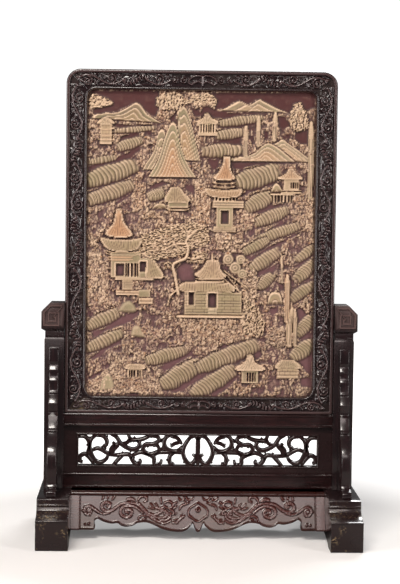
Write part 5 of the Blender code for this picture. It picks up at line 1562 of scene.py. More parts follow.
    def surface(self) -> tuple[Array, Array, list[list[int]]]:
        """Return the heights, the corners and the faces of the closed slab.

        Returns:
            The heights, one row of x, y and z for each corner, and the corners of each face.
        """
        us, vs = self.relief.us, self.relief.vs
        u, v = np.meshgrid(us, vs, indexing="ij")
        edge = np.minimum(HALF_SIGHT - np.abs(u), np.minimum(v - SIGHT_BOTTOM, SIGHT_TOP - v))
        height = self.relief.height * ramp(edge, 0.3, 1.6)
        front = np.stack([u, SLAB_FACE - height, v], -1).reshape(-1, 3)
        columns, rows = len(us), len(vs)
        rim = [c * rows for c in range(columns)]
        rim += [(columns - 1) * rows + r for r in range(1, rows)]
        rim += [c * rows + rows - 1 for c in range(columns - 2, -1, -1)]
        rim += list(range(rows - 2, 0, -1))
        radius = SIGHT_RADIUS + SLAB_REACH
        core_x, low, high = HALF_SIGHT - SIGHT_RADIUS, SIGHT_BOTTOM + SIGHT_RADIUS, SIGHT_TOP - SIGHT_RADIUS
        places = front[rim]
        core = np.stack([np.clip(places[:, 0], -core_x, core_x), np.clip(places[:, 2], low, high)], -1)
        away = places[:, [0, 2]] - core
        away /= np.linalg.norm(away, axis=1)[:, None]
        outline = core + away * radius
        count = len(rim)
        face = np.stack([outline[:, 0], np.full(count, SLAB_FACE), outline[:, 1]], -1)
        back = np.stack([outline[:, 0], np.full(count, SLAB_BACK), outline[:, 1]], -1)
        first = len(front)
        faces = quads(columns, rows).tolist()
        loops = [rim, [first + n for n in range(count)], [first + count + n for n in range(count)]]
        for here, there in zip(loops, loops[1:]):
            faces += [[here[n], there[n], there[(n + 1) % count], here[(n + 1) % count]] for n in range(count)]
        faces.append(loops[2])
        return height, np.vstack([front, face, back]), faces

    def build(self) -> Object:
        """Carve the relief, close it with the slab's edges and back, and dress it.

        Returns:
            The carved slab.
        """
        self.carve()
        self.paint_shade_and_highlights()
        height, points, faces = self.surface()
        layer = (0.55 * ramp(height, 0.5, 1.3) + 0.45 * ramp(height, 1.2, 3.0)).ravel()
        names = ("warm", "pale", "shade")
        tones = np.stack([layer, *(np.clip(self.relief.tones[name], 0, 1).ravel() for name in names)], -1)
        plain = len(points) - len(tones)
        tones = np.vstack([tones, np.zeros((plain, 4))])
        rocky = np.concatenate([self.relief.tones["rocky"].ravel() * (height.ravel() > 1.2), np.zeros(plain)])
        crumbly = np.concatenate([ramp(self.relief.tones["rocky"], 0.0, 0.08).ravel(), np.zeros(plain)])
        item = make_piece("stone_relief", points, faces, {"tones": tones, "rocky": rocky, "crumbly": crumbly})
        point_outwards(item)
        shade_smooth(item, 60.0)
        material = self.finish.material()
        self.build_rubble(item, material)
        dress(item, material, "carved_stone", "stone_panel")
        return item

    def rubble_tree(self, material: Material) -> NodeTree:
        """Return a node tree that strews small lumps of stone over the rocky parts of a relief.

        Args:
            material: the stone.

        Returns:
            The tree, which takes the spacing and the sizes of the lumps.
        """
        tree = geometry_tree("rubble", "NodeSocketFloat", "Spacing", "Smallest", "Largest")
        add = partial(add_node, tree)
        source = add("NodeGroupInput").outputs
        rocky = add("GeometryNodeInputNamedAttribute", {"data_type": "FLOAT",
            "Name": "rocky"}).outputs[0]
        spots = add("GeometryNodeDistributePointsOnFaces",
            {"distribute_method": "POISSON", "Density Max": 90000.0, "Seed": 11},
            {"Mesh": source["Geometry"], "Distance Min": source["Spacing"], "Density Factor": rocky}).outputs
        lump = add("GeometryNodeMeshUVSphere", {"Segments": 7, "Rings": 5, "Radius": 1.0}).outputs[0]
        place = add("GeometryNodeInputPosition").outputs[0]
        knobs = add("ShaderNodeTexNoise", {"Scale": 1.3, "Detail": 1.0},
            {"Vector": place}).outputs["Color"]
        push = add("ShaderNodeVectorMath", {"operation": "MULTIPLY_ADD", 1: (0.9, 0.9, 0.9),
            2: (-0.45, -0.45, -0.45)}, {0: knobs}).outputs[0]
        uneven = add("GeometryNodeSetPosition", {}, {"Geometry": lump, "Offset": push}).outputs[0]
        turn = add("FunctionNodeRandomValue", {"data_type": "FLOAT_VECTOR", "Max": (6.2, 6.2, 6.2),
            "Seed": 3}).outputs[0]
        size = add("FunctionNodeRandomValue", {"data_type": "FLOAT", "Seed": 5},
            {2: source["Smallest"], 3: source["Largest"]}).outputs[1]
        strewn = add("GeometryNodeInstanceOnPoints", {},
            {"Points": spots["Points"], "Instance": uneven, "Rotation": turn, "Scale": size}).outputs[0]
        warm = add("FunctionNodeRandomValue", {"data_type": "FLOAT", 3: 0.75, "Seed": 7}).outputs[1]
        pale = add("FunctionNodeRandomValue", {"data_type": "FLOAT", 3: 0.85, "Seed": 9}).outputs[1]
        tone = add("FunctionNodeCombineColor", {"Red": 1.0, "Alpha": 0.12},
            {"Green": warm, "Blue": pale}).outputs[0]
        toned = add("GeometryNodeStoreNamedAttribute", {"data_type": "FLOAT_COLOR",
            "domain": "INSTANCE", "Name": "tones"}, {"Geometry": strewn, "Value": tone}).outputs[0]
        crumbly = add("GeometryNodeStoreNamedAttribute",
            {"data_type": "FLOAT", "domain": "INSTANCE", "Name": "crumbly", "Value": 1.0},
            {"Geometry": toned}).outputs[0]
        real = add("GeometryNodeRealizeInstances", {}, {0: crumbly}).outputs[0]
        smooth_faces = add("GeometryNodeSetShadeSmooth", {}, {"Geometry": real}).outputs[0]
        dressed = add("GeometryNodeSetMaterial", {"Material": material},
            {"Geometry": smooth_faces}).outputs[0]
        add("NodeGroupOutput", {}, {0: dressed})
        return tree

    def build_rubble(self, relief_item: Object, material: Material) -> Object:
        """Build the loose-looking lumps that stand on the relief, as one piece.

        Args:
            relief_item: the carved slab.
            material: the stone.

        Returns:
            The piece.
        """
        item = new_object("stone_rubble", relief_item.data.copy())
        run_tree(item, self.rubble_tree(material), {"Spacing": 3.2 * MM, "Smallest": 0.7 * MM,
            "Largest": 2.0 * MM})
        plain_mesh(item)
        side = (HALF_SIGHT - RUBBLE_MARGIN) * MM
        low, high = (SIGHT_BOTTOM + RUBBLE_MARGIN) * MM, (SIGHT_TOP - RUBBLE_MARGIN) * MM
        for vertex in item.data.vertices:
            vertex.co.y = max(vertex.co.y, (SLAB_FACE - RELIEF_TOP) * MM)
            vertex.co.x = min(max(vertex.co.x, -side), side)
            vertex.co.z = min(max(vertex.co.z, low), high)
        dress(item, material, "carved_stone")
        return item


# Framed panel

@dataclass
class Corner:
    """A corner of a rounded rectangle, cut by the frame's mitre."""

    side: int
    end: int

    def mitre(self) -> tuple[Array, Array]:
        """Return the sight corner and the direction of the mitre out of it.

        Returns:
            The corner and the direction.
        """
        sight = np.array([self.side * HALF_SIGHT, SIGHT_TOP if self.end > 0 else SIGHT_BOTTOM])
        outer = np.array([self.side * HALF_WIDTH, FRAME_TOP if self.end > 0 else FRAME_BASE])
        return sight, (outer - sight) / np.linalg.norm(outer - sight)

    def crossing(self, inset: float, outer: bool) -> tuple[Array, Array, float]:
        """Return where a loop meets the mitre, the centre of its corner and its radius.

        Args:
            inset: how far the loop stands in from the frame's edge.
            outer: whether that is the outer edge or the sight edge.

        Returns:
            The place, the centre and the radius.
        """
        sight, along = self.mitre()
        if outer:
            square = OUTER_RADIUS if self.end > 0 else FOOT_RADIUS
            radius = max(square - inset, FOOT_RADIUS / 4)
            level = FRAME_TOP - inset if self.end > 0 else FRAME_BASE + inset
            corner = np.array([self.side * (HALF_WIDTH - inset), level])
        else:
            radius = SIGHT_RADIUS + inset
            level = SIGHT_TOP + inset if self.end > 0 else SIGHT_BOTTOM - inset
            corner = np.array([self.side * (HALF_SIGHT + inset), level])
        centre = corner - radius * np.array([self.side, self.end])
        offset = sight - centre
        half = offset @ along
        reach = -half + math.sqrt(max(half * half - offset @ offset + radius * radius, 0.0))
        return sight + along * reach, centre, radius


@dataclass
class FrameMember:
    """One member of the carved frame: a stile or a rail between two mitres."""

    name: str
    node: str
    corners: tuple[Corner, Corner]
    upright: bool
    finish: Rosewood
    step_mm: float = 0.75
    gap_mm: float = 0.16

    def run(self, inset: float, outer: bool, count: int) -> Array:
        """Return places along a loop of the frame, from one mitre to the other.

        Args:
            inset: how far the loop stands in.
            outer: whether it follows the outer edge or the sight edge.
            count: the number of places.

        Returns:
            One row of x and z for each place.
        """
        parts = []
        for number, corner in enumerate(self.corners):
            cut, centre, radius = corner.crossing(inset, outer)
            if self.upright:
                flat = np.array([centre[0] + corner.side * radius, centre[1]])
            else:
                flat = np.array([centre[0], centre[1] + corner.end * radius])
            start = math.atan2(cut[1] - centre[1], cut[0] - centre[0])
            stop = math.atan2(flat[1] - centre[1], flat[0] - centre[0])
            turn = (stop - start + math.pi) % (2 * math.pi) - math.pi
            angles = start + turn * np.linspace(0, 1, 9)
            arc = centre + radius * np.stack([np.cos(angles), np.sin(angles)], -1)
            parts.append(arc if number == 0 else arc[::-1])
        line = np.vstack(parts)
        lengths = np.concatenate([[0], np.cumsum(np.linalg.norm(np.diff(line, axis=0), axis=1))])
        places = np.linspace(self.gap_mm, lengths[-1] - self.gap_mm, count)
        return np.stack([np.interp(places, lengths, line[:, axis]) for axis in (0, 1)], -1)

    def section(self) -> list[tuple[float, float, float]]:
        """Return the section's rows: the share from the outer to the sight edge, inset and depth.

        Returns:
            The edge that a row is tied to, its inset from that edge and its depth.
        """
        face = -HALF_DEPTH
        rows = [("outer", 0.0, HALF_DEPTH), ("outer", 0.0, 0.0), ("outer", 0.0, face + EDGE_ROUNDING)]
        for angle in (20, 45, 70, 90):
            turn = math.radians(angle)
            rows.append(("outer", EDGE_ROUNDING * (1 - math.cos(turn)),
                face + EDGE_ROUNDING * (1 - math.sin(turn))))
        for angle in (90, 65, 40, 15):
            turn = math.radians(angle)
            rows.append(("outer", OUTER_BEAD - 1.2 + 1.0 * math.cos(turn), face + 1.0 * (1 - math.sin(turn))))
        rows.append(("outer", OUTER_BEAD, FIELD_FACE))
        rows.append(("field", 0.0, FIELD_FACE))
        rows.append(("sight", INNER_BEAD, FIELD_FACE))
        for angle in (10, 40, 65, 90, 115, 140, 170):
            turn = math.radians(angle)
            rows.append(("sight", INNER_BEAD / 2 + 0.2 + (INNER_BEAD / 2 - 0.4) * math.cos(turn),
                face + 0.6 + 2.0 * (1 - math.sin(turn))))
        before, behind = SLAB_FACE - SLAB_GAP, SLAB_BACK + SLAB_GAP
        rows += [("sight", 0.0, face + 4.0), ("sight", 0.0, before), ("sight", SLAB_GROOVE, before),
            ("sight", SLAB_GROOVE, behind), ("sight", 0.0, behind), ("sight", 0.0, HALF_DEPTH - 0.8),
            ("sight", 0.8, HALF_DEPTH)]
        return rows

    def build(self, carving: Relief) -> Object:
        """Build the member with its beads, its carved field and the groove for the slab.

        Args:
            carving: the carved field.

        Returns:
            The piece.
        """
        span = (FRAME_TOP - FRAME_BASE) if self.upright else 2 * HALF_WIDTH
        count = round(span / self.step_mm)
        loops, recesses, worn_and_highlight_rows = [], [], []
        for tie, inset, depth in self.section():
            if tie != "field":
                line = self.run(inset, tie == "outer", count)
                loops.append(np.stack([line[:, 0], np.full(count, depth), line[:, 1]], -1))
                on_bead = depth < -HALF_DEPTH + 1.6
                recesses.append(np.full(count, 0.0 if on_bead else 0.6))
                # The front of the frame's beads takes the lighter edge colour: wear and a painted highlight.
                worn_and_highlight_rows.append(np.full(count, 0.8 if depth < -HALF_DEPTH + 0.5 else 0.1))
                continue
            outer = self.run(OUTER_BEAD, True, count)
            sight = self.run(INNER_BEAD, False, count)
            width = np.linalg.norm(outer[count // 2] - sight[count // 2])
            rows = round(width / 0.62)
            for row in range(1, rows):
                line = outer + (sight - outer) * row / rows
                height = carving.sample(line[:, 0], line[:, 1])
                loops.append(np.stack([line[:, 0], FIELD_FACE - height, line[:, 1]], -1))
                grime = 1 + 8 * np.exp(-((line[:, 0] + 166) / 24) ** 2 - ((line[:, 1] - 184) / 12) ** 2)
                recesses.append((1 - ramp(height, 0.1, 0.9)) * grime)
                # The tops of the carving take the lighter edge colour: wear and a painted highlight.
                worn_and_highlight_rows.append(ramp(height, CARVING * 0.55, CARVING))
        rows = len(loops)
        faces = quads(rows, count, ring=True).tolist()
        faces.append(tuple(row * count for row in range(rows)))
        faces.append(tuple(row * count + count - 1 for row in range(rows)))
        item = make_piece(self.name, np.vstack(loops), faces, {"recess": np.concatenate(recesses),
            "rubbed": np.concatenate(worn_and_highlight_rows)})
        point_outwards(item)
        shade_smooth(item, 42.0)
        dress(item, self.finish.material(), "dark_rosewood", self.node)
        return item


@dataclass
class VineCarver:
    """Carves scrolls, volutes, leaves and ribbed bodies along a field of the frame."""

    relief: Relief
    place: Callable[[float, float], Point]
    width: float

    def put(self, points: Line) -> list[Point]:
        """Return real places from places along and across the field."""
        return [self.place(*p) for p in points]

    def leaf(self, root: Point, angle: float, length: float, width: float = 2.6) -> None:
        """Carve a curved leaf with a groove along it.

        Args:
            root: where it grows, along and across the field.
            angle: the way it points, in degrees.
            length: its length.
            width: its width.
        """
        turn = math.radians(angle)
        points = []
        for step in range(6):
            share = step / 5
            bend = turn + 0.7 * share * (1 if angle > 0 else -1)
            points.append((root[0] + length * share * math.cos(bend),
                root[1] + length * share * math.sin(bend)))
        self.relief.stroke(self.put(points), width * 1.15, CARVING * 0.9, 0.3, (0.8, 0.15), groove=0.3)

    def volute(self, centre: Point, radius: float, start: float, turns: float) -> None:
        """Carve a spiral volute with a bud in its eye."""
        self.relief.stroke(self.put(spiral(centre, radius, start, turns, 0.22)), 2.6, CARVING, 0.3, (1.0, 0.9))
        self.relief.bud(self.place(*centre), 1.5, CARVING, 0.4)

    def scroll_unit(self, start: float, length: float, side: int) -> None:
        """Carve one swing of the vine with its volute and leaves.

        Args:
            start: where it starts along the field.
            length: its length.
            side: which side it swings to, 1 or -1.
        """
        swing = self.width * 0.33
        stem = [(start + length * s, side * swing * math.sin(math.pi * s)) for s in np.linspace(0, 1, 13)]
        self.relief.stroke(self.put(stem), 3.3, CARVING, 0.4, (0.9, 0.9))
        radius = self.width * 0.37
        centre = (start + length * 0.5, -side * self.width * 0.12)
        self.volute(centre, radius, 90 * side, side * 1.45)
        for share, angle, size in ((0.06, 40, 0.36), (0.18, 62, 0.4), (0.8, 115, 0.38), (0.94, 60, 0.34)):
            self.leaf((start + length * share, -side * self.width * 0.04), -side * angle, self.width * size)
        for share, angle in ((0.14, 30), (0.3, 55), (0.66, 110), (0.84, 140)):
            self.leaf((start + length * share, side * swing * math.sin(math.pi * share) * 0.9), side * angle,
                self.width * 0.27, 2.5)

    def body_unit(self, start: float, length: float, side: int) -> None:
        """Carve a ribbed, winding body with claws.

        Args:
            start: where it starts along the field.
            length: its length.
            side: which side it swings to, 1 or -1.
        """
        swing = self.width * 0.22
        spine = [(start + length * s, side * swing * math.sin(2 * math.pi * s)) for s in np.linspace(0, 1, 17)]
        self.relief.stroke(self.put(spine), 11.5, CARVING, 0.6, (0.5, 0.5))
        count = round(length / 4.2)
        for rib in range(1, count):
            share = rib / count
            middle_y = side * swing * math.sin(2 * math.pi * share)
            lean = 0.6 * side * math.cos(2 * math.pi * share)
            across = 5.6 * math.sin(math.pi * min(max(share, 0.1), 0.9)) ** 0.3
            bow = [(start + length * share - lean - 2.4, middle_y - across),
                (start + length * share - 0.3, middle_y - across / 2),
                (start + length * share + lean * 0.2 + 0.6, middle_y),
                (start + length * share - 0.3, middle_y + across / 2),
                (start + length * share + lean - 2.4, middle_y + across)]
            self.relief.groove(self.put(bow), 2.0, 2.6)
        for share, hand in ((0.18, 1), (0.42, -1), (0.6, 1), (0.86, -1)):
            root = (start + length * share, side * swing * math.sin(2 * math.pi * share) + hand * 2.0)
            for angle in (50, 80, 110):
                self.leaf(root, hand * angle, self.width * 0.26, 1.9)

    def carve(self, start: float, end: float, kinds: Sequence[str]) -> None:
        """Fill a run with units in order.

        Args:
            start: where the run starts.
            end: where it ends.
            kinds: scroll or body, for each unit.
        """
        length = (end - start) / len(kinds)
        for number, kind in enumerate(kinds):
            side = 1 if number % 2 else -1
            if kind == "scroll":
                self.scroll_unit(start + length * number, length, side)
            else:
                self.body_unit(start + length * number, length, side)
        self.fill(start, end)

    def fill(self, start: float, end: float) -> None:
        """Fill the gaps between the vines with small leaves, and roughen everything a little.

        Args:
            start: where the run starts.
            end: where it ends.
        """
        u, v = np.meshgrid(self.relief.us, self.relief.vs, indexing="ij")
        (x0, z0), (x1, z1) = self.place(start, 0.5 - self.width / 2), self.place(end, self.width / 2 - 0.5)
        inside = (u > min(x0, x1)) & (u < max(x0, x1)) & (v > min(z0, z1)) & (v < max(z0, z1))
        upright = abs(z1 - z0) > abs(x1 - x0)
        warp = 3.0 * (clouds(u, v, 9.0, 15) - 0.5)
        across, along = (u, v) if upright else (v, u)
        first, second, own = pebbles(across + warp, along * 0.5 - warp, 5.6, 19)
        lump = np.sqrt(np.clip(1 - 1.5 * first * first, 0, 1)) * ramp(second - first, 0.03, 0.3)
        leaves = CARVING * (0.05 + 0.33 * own) * lump * inside
        self.relief.height = np.maximum(self.relief.height, leaves)
        cuts = 0.14 * (clouds(u, v, 2.4, 7) - 0.5) * ramp(self.relief.height, 0.6, 1.4) * inside
        self.relief.height = np.clip(self.relief.height + cuts, 0.0, None)


@dataclass
class CarvedFrame:
    """The four members of the frame."""

    # The frame's greyish edge colour is wear and a painted highlight on the carving's tops and front beads.
    grain_up: Rosewood = field(default_factory=lambda: Rosewood(Grain.ALONG_Z, rubbed="#523E3D"))
    grain_across: Rosewood = field(default_factory=lambda: Rosewood(Grain.ALONG_X, rubbed="#523E3D"))

    def motif(self, relief: Relief, level: float, width: float) -> None:
        """Carve the winged motif in the middle of a rail, with rings and leaves at its sides.

        Args:
            relief: the rail's field.
            level: the middle of the rail.
            width: the width of the field.
        """
        wing = [(0.02, -0.1), (0.1, 0.3), (0.45, 0.36), (0.85, 0.2), (1.05, -0.12), (0.8, -0.3), (0.66, -0.06)]
        lower = [(0.04, -0.22), (0.3, -0.06), (0.6, -0.16), (0.8, -0.34)]
        for line in (wing, lower):
            points = [(x * width, level + z * width) for x, z in smooth(line)]
            for stroke in (points, mirrored(points)):
                relief.stroke(stroke, 3.1, CARVING, 0.4, (0.9, 0.5), groove=0.25)
        relief.stroke([(0, level - width * 0.36), (0, level + width * 0.4)], 4.4, CARVING, 0.6, (0.7, 0.3))
        for hand in (-1, 1):
            for reach, radius in ((1.42, 0.26), (2.05, 0.22)):
                ring = spiral((hand * reach * width, level), radius * width, 90, hand * 1.3, 0.3)
                relief.stroke(ring, 2.1, CARVING, 0.3, (0.9, 0.8))
                relief.bud((hand * reach * width, level), 1.5, CARVING)

    def rail_carving(self, low: float, high: float) -> Relief:
        """Return the carved field of a rail, with the motif in its middle and vines at both sides.

        Args:
            low: the foot of the field.
            high: its top.

        Returns:
            The field.
        """
        relief = Relief(-HALF_WIDTH, HALF_WIDTH, low - 2, high + 2, 0.5)
        width = high - low
        level = (low + high) / 2
        self.motif(relief, level, width)
        for hand in (-1, 1):
            carver = VineCarver(relief, lambda along, across, h=hand: (h * along, level + across), width)
            carver.carve(width * 2.35, HALF_WIDTH - 13, ("scroll", "body", "scroll", "scroll"))
            carver.volute((HALF_WIDTH - 15, 0.0), width * 0.34, 180, 1.3)
        return relief

    def stile_carving(self, hand: int) -> Relief:
        """Return the carved field of a stile.

        Args:
            hand: -1 for the left stile or 1 for the right one.

        Returns:
            The field.
        """
        left, right = HALF_SIGHT + INNER_BEAD, HALF_WIDTH - OUTER_BEAD
        width = right - left
        middle_x = (left + right) / 2
        edges = sorted((hand * (left - 2), hand * (right + 2)))
        relief = Relief(*edges, FRAME_BASE, FRAME_TOP, 0.5)
        carver = VineCarver(relief, lambda along, across: (hand * (middle_x + across), along), width)
        kinds = ("scroll", "scroll", "body", "scroll", "scroll", "body", "body", "scroll", "scroll", "body",
            "scroll", "scroll")
        carver.carve(FRAME_BASE + 16, FRAME_TOP - 22, kinds)
        return relief

    def build(self) -> None:
        """Build the members."""
        top_field = (SIGHT_TOP + INNER_BEAD, FRAME_TOP - OUTER_BEAD)
        foot_field = (FRAME_BASE + OUTER_BEAD, SIGHT_BOTTOM - INNER_BEAD)
        for name, end, bounds in (("top", 1, top_field), ("bottom", -1, foot_field)):
            member = FrameMember(f"carved_{name}_rail", f"frame_{name}_rail", (Corner(-1, end), Corner(1, end)),
                False, self.grain_across)
            member.build(self.rail_carving(*bounds))
        for name, side in (("left", -1), ("right", 1)):
            member = FrameMember(f"carved_{name}_stile", f"frame_{name}_stile",
                (Corner(side, -1), Corner(side, 1)), True, self.grain_up)
            member.build(self.stile_carving(side))


# Stand

OPENING_HALF, OPENING_LOW, OPENING_HIGH = 170.6, 98.7, 142.1
BOARD_FACE, BOARD_BACK, BOARD_HALF, BOARD_LOW, BOARD_HIGH = -9.0, 6.0, 195.0, 84.5, 159.3
CORD_WIDTH_M, CORD_INSET, CORD_SIDES = 0.0046, 2.2, 14
# width in mm, then places in thousandths of the opening: across from its middle, up from its foot
SCROLLS = (
    (4.8, (871, 20, 905, 220, 946, 350, 986, 270, 985, 120, 962, 90)),
    (4.8, (1010, 930, 950, 930, 917, 800, 908, 600, 922, 400, 925, 240)),
    (4.8, (840, 1020, 892, 850, 908, 620, 896, 380, 864, 150, 816, 80, 767, 190, 750, 370)),
    (4.6, (850, 970, 795, 950, 764, 800, 772, 640, 800, 620)),
    (4.6, (895, 460, 844, 540, 802, 490, 752, 380, 710, 460)),
    (4.8, (730, 1020, 684, 920, 649, 720, 600, 580, 545, 510, 503, 570, 490, 720, 515, 830, 550, 770)),
    (4.2, (640, 700, 593, 740, 573, 870, 590, 1020)),
    (4.6, (590, 880, 540, 830, 482, 840, 427, 920, 390, 1020)),
    (4.8, (400, 970, 340, 930, 330, 800, 378, 690, 434, 680, 461, 550, 441, 410, 392, 360, 343, 430, 300, 530,
     265, 520)),
    (4.0, (320, 500, 345, 660, 378, 620)),
    (4.8, (215, 1020, 262, 940, 283, 780, 272, 580, 225, 470, 170, 480, 132, 620)),
    (4.2, (230, 950, 175, 900, 135, 700)), (4.0, (140, 760, 197, 710, 228, 600)),
    (4.8, (44, 1020, 95, 770, 124, 500, 114, 250, 79, 50, 38, 80, 17, 270, 46, 360)),
    (4.6, (757, 340, 684, 320, 628, 340, 573, 330, 545, 140, 517, 40, 482, 90, 489, 190)),
    (4.4, (710, -20, 663, 190, 621, 350)),
    (4.6, (566, 200, 538, 330, 482, 420, 425, 370, 371, 250, 364, 50, 318, 30, 304, 180)),
    (4.6, (378, 300, 336, 410, 274, 430, 204, 430, 120, 400)), (4.6, (200, 420, 236, 280, 232, 60, 195, 60)),
    (4.4, (60, 920, 22, 980, -2, 800)), (5.2, (0, 1020, 0, 600, 0, -20)), (7.0, (722, 340, 715, 520, 665, 690)),
)


@dataclass
class Openwork:
    """The pierced board between the rails: a beaded border and scrolls as round as cut cord."""

    finish: Rosewood = field(default_factory=lambda: Rosewood(Grain.ALONG_X, body="#21100F"))

    def strokes(self) -> Iterable[tuple[float, list[Point]]]:
        """Yield the width and the smooth line of each scroll, on both sides.

        Returns:
            The strokes, one by one.
        """
        for number, (width, points) in enumerate(SCROLLS):
            rise = OPENING_HIGH - OPENING_LOW
            line = smooth([(OPENING_HALF * x, OPENING_LOW + rise * z) for x, z in pairs(points)], 5)
            both = any(x > 1.0 for x, _ in line)
            for stroke in (line, *self.leaves(line, width, number)):
                breadth = width * (1.42 if stroke is line else 0.8)
                yield breadth, stroke
                if both:
                    yield breadth, mirrored(stroke)

    def leaves(self, line: list[Point], width: float, number: int) -> Iterable[list[Point]]:
        """Yield small pointed leaves that stand off a scroll at its outer side.

        Args:
            line: the scroll.
            width: its width.
            number: its place among the scrolls, which shifts the leaves.

        Returns:
            The line of each leaf, one by one.
        """
        for place in range(6 + number % 3, len(line) - 4, 9):
            (x0, z0), (x1, z1), (x2, z2) = line[place - 3], line[place], line[place + 3]
            along = math.atan2(z2 - z0, x2 - x0)
            turn = (x1 - x0) * (z2 - z1) - (z1 - z0) * (x2 - x1)
            side = -1 if turn > 0 else 1
            lean = along + side * 0.85
            tip = (x1 + (width * 1.25) * math.cos(lean), z1 + (width * 1.25) * math.sin(lean))
            if OPENING_LOW + 1 < tip[1] < OPENING_HIGH - 1 and abs(tip[0]) < OPENING_HALF - 1:
                middle = (x1 + width * 0.7 * math.cos(along + side * 0.5),
                    z1 + width * 0.7 * math.sin(along + side * 0.5))
                yield smooth([(x1, z1), middle, tip], 3)

    def sweep_tree(self, material: Material, depth: float) -> NodeTree:
        """Return a node tree that sweeps a flattened round along each scroll.

        Args:
            material: the wood.
            depth: the thickness of the scrolls in metres.

        Returns:
            The tree, which takes the width of a scroll from its curve's radius.
        """
        tree = geometry_tree("scroll_sweep", "NodeSocketInt", "Sides")
        add = partial(add_node, tree)
        source = add("NodeGroupInput").outputs
        ring = add("GeometryNodeCurvePrimitiveCircle", {"Radius": 1.0},
            {"Resolution": source["Sides"]}).outputs["Curve"]
        radius = add("GeometryNodeInputRadius").outputs[0]
        swept = add("GeometryNodeCurveToMesh", {"Fill Caps": True},
            {"Curve": source["Geometry"], "Profile Curve": ring, "Scale": radius}).outputs[0]
        place = add("GeometryNodeInputPosition").outputs[0]
        parts = add("ShaderNodeSeparateXYZ", {}, {0: place}).outputs
        deep = add("ShaderNodeMath", {"operation": "MULTIPLY", 1: depth / CORD_WIDTH_M},
            {0: parts[1]}).outputs[0]
        held = add("ShaderNodeMath", {"operation": "MINIMUM", 1: depth / 2}, {0: deep}).outputs[0]
        kept = add("ShaderNodeMath", {"operation": "MAXIMUM", 1: -depth / 2}, {0: held}).outputs[0]
        flat = add("ShaderNodeCombineXYZ", {}, {0: parts[0], 1: kept, 2: parts[2]}).outputs[0]
        moved = add("GeometryNodeSetPosition", {}, {"Geometry": swept, "Position": flat}).outputs[0]
        real = add("GeometryNodeRealizeInstances", {}, {0: moved}).outputs[0]
        dressed = add("GeometryNodeSetMaterial", {"Material": material},
            {"Geometry": real}).outputs[0]
        add("NodeGroupOutput", {}, {0: dressed})
        return tree

    def build_scrolls(self, material: Material) -> Object:
        """Build the scrolls as one piece.

        Args:
            material: the wood.

        Returns:
            The piece.
        """
        curve = bpy.data.curves.new("scroll_lines", "CURVE")
        curve.dimensions = "3D"
        for width, line in self.strokes():
            spline = curve.splines.new("POLY")
            spline.points.add(len(line) - 1)
            halves = taper(len(line), width, 0.72, 0.55)
            for point, (x, z), half in zip(spline.points, line, halves):
                point.co = (x * MM, 0.0, z * MM, 1.0)
                point.radius = half * MM
        source = new_object("scroll_lines", curve)
        depth = (BOARD_BACK - BOARD_FACE - CORD_INSET) * MM
        run_tree(source, self.sweep_tree(material, depth), {"Sides": CORD_SIDES})
        graph = bpy.context.evaluated_depsgraph_get()
        mesh = bpy.data.meshes.new_from_object(source.evaluated_get(graph))
        bpy.data.objects.remove(source)
        for vertex in mesh.vertices:
            vertex.co.y += (BOARD_FACE + BOARD_BACK) / 2 * MM
        item = new_object("openwork_scrolls", mesh)
        shade_smooth(item, 50.0)
        dress(item, material, "dark_rosewood")
        return item

    def build_border(self, material: Material) -> Object:
        """Build the board round the opening, with a raised bead along the opening.

        Args:
            material: the wood.

        Returns:
            The piece.
        """
        middle_z = (OPENING_LOW + OPENING_HIGH) / 2
        half_z = (OPENING_HIGH - OPENING_LOW) / 2
        board_z = (BOARD_LOW + BOARD_HIGH) / 2

        def rim(grow: float, y: float) -> list[tuple[float, float, float]]:
            """Return a rectangular loop that stands off from the opening."""
            x, z = OPENING_HALF + grow, half_z + grow
            return [(-x, y, middle_z - z), (x, y, middle_z - z), (x, y, middle_z + z), (-x, y, middle_z + z)]

        def board(y: float) -> list[tuple[float, float, float]]:
            """Return the loop of the board's outer edge."""
            x, z = BOARD_HALF, BOARD_HIGH - board_z
            return [(-x, y, board_z - z), (x, y, board_z - z), (x, y, board_z + z), (-x, y, board_z + z)]

        loops = [board(BOARD_FACE + 1.0), rim(3.4, BOARD_FACE + 1.0)]
        for angle in range(0, 181, 20):
            turn = math.radians(angle)
            loops.append(rim(1.6 + 1.4 * math.cos(turn), BOARD_FACE + 1.0 - 1.0 * math.sin(turn)))
        loops += [rim(0.0, BOARD_FACE + 1.6), rim(0.0, BOARD_BACK - 0.5), rim(0.5, BOARD_BACK),
            board(BOARD_BACK)]
        item = make_piece("openwork_border", *map(list, loft(loops, ring=True)))
        point_outwards(item)
        shade_smooth(item, 40.0)
        dress(item, material, "dark_rosewood", "openwork_panel")
        return item

    def build(self) -> None:
        """Build the border and the scrolls."""
        material = self.finish.material()
        self.build_border(material)
        self.build_scrolls(material)


FRET = (
    (0.6, -2.0), (4.0, -2.0), (4.0, -7.6), (-6.0, -7.6), (-6.0, 4.0), (8.4, 4.0), (8.4, -13.4), (-12.4, -13.4),
    (-12.4, 4.6), (-3.4, 14.2), (13.8, 14.2),
)
FINIAL_CENTRE, FINIAL_FACE, FRET_WIDTH, FRET_RISE = (207.5, 312.7), -21.2, 2.0, 1.3


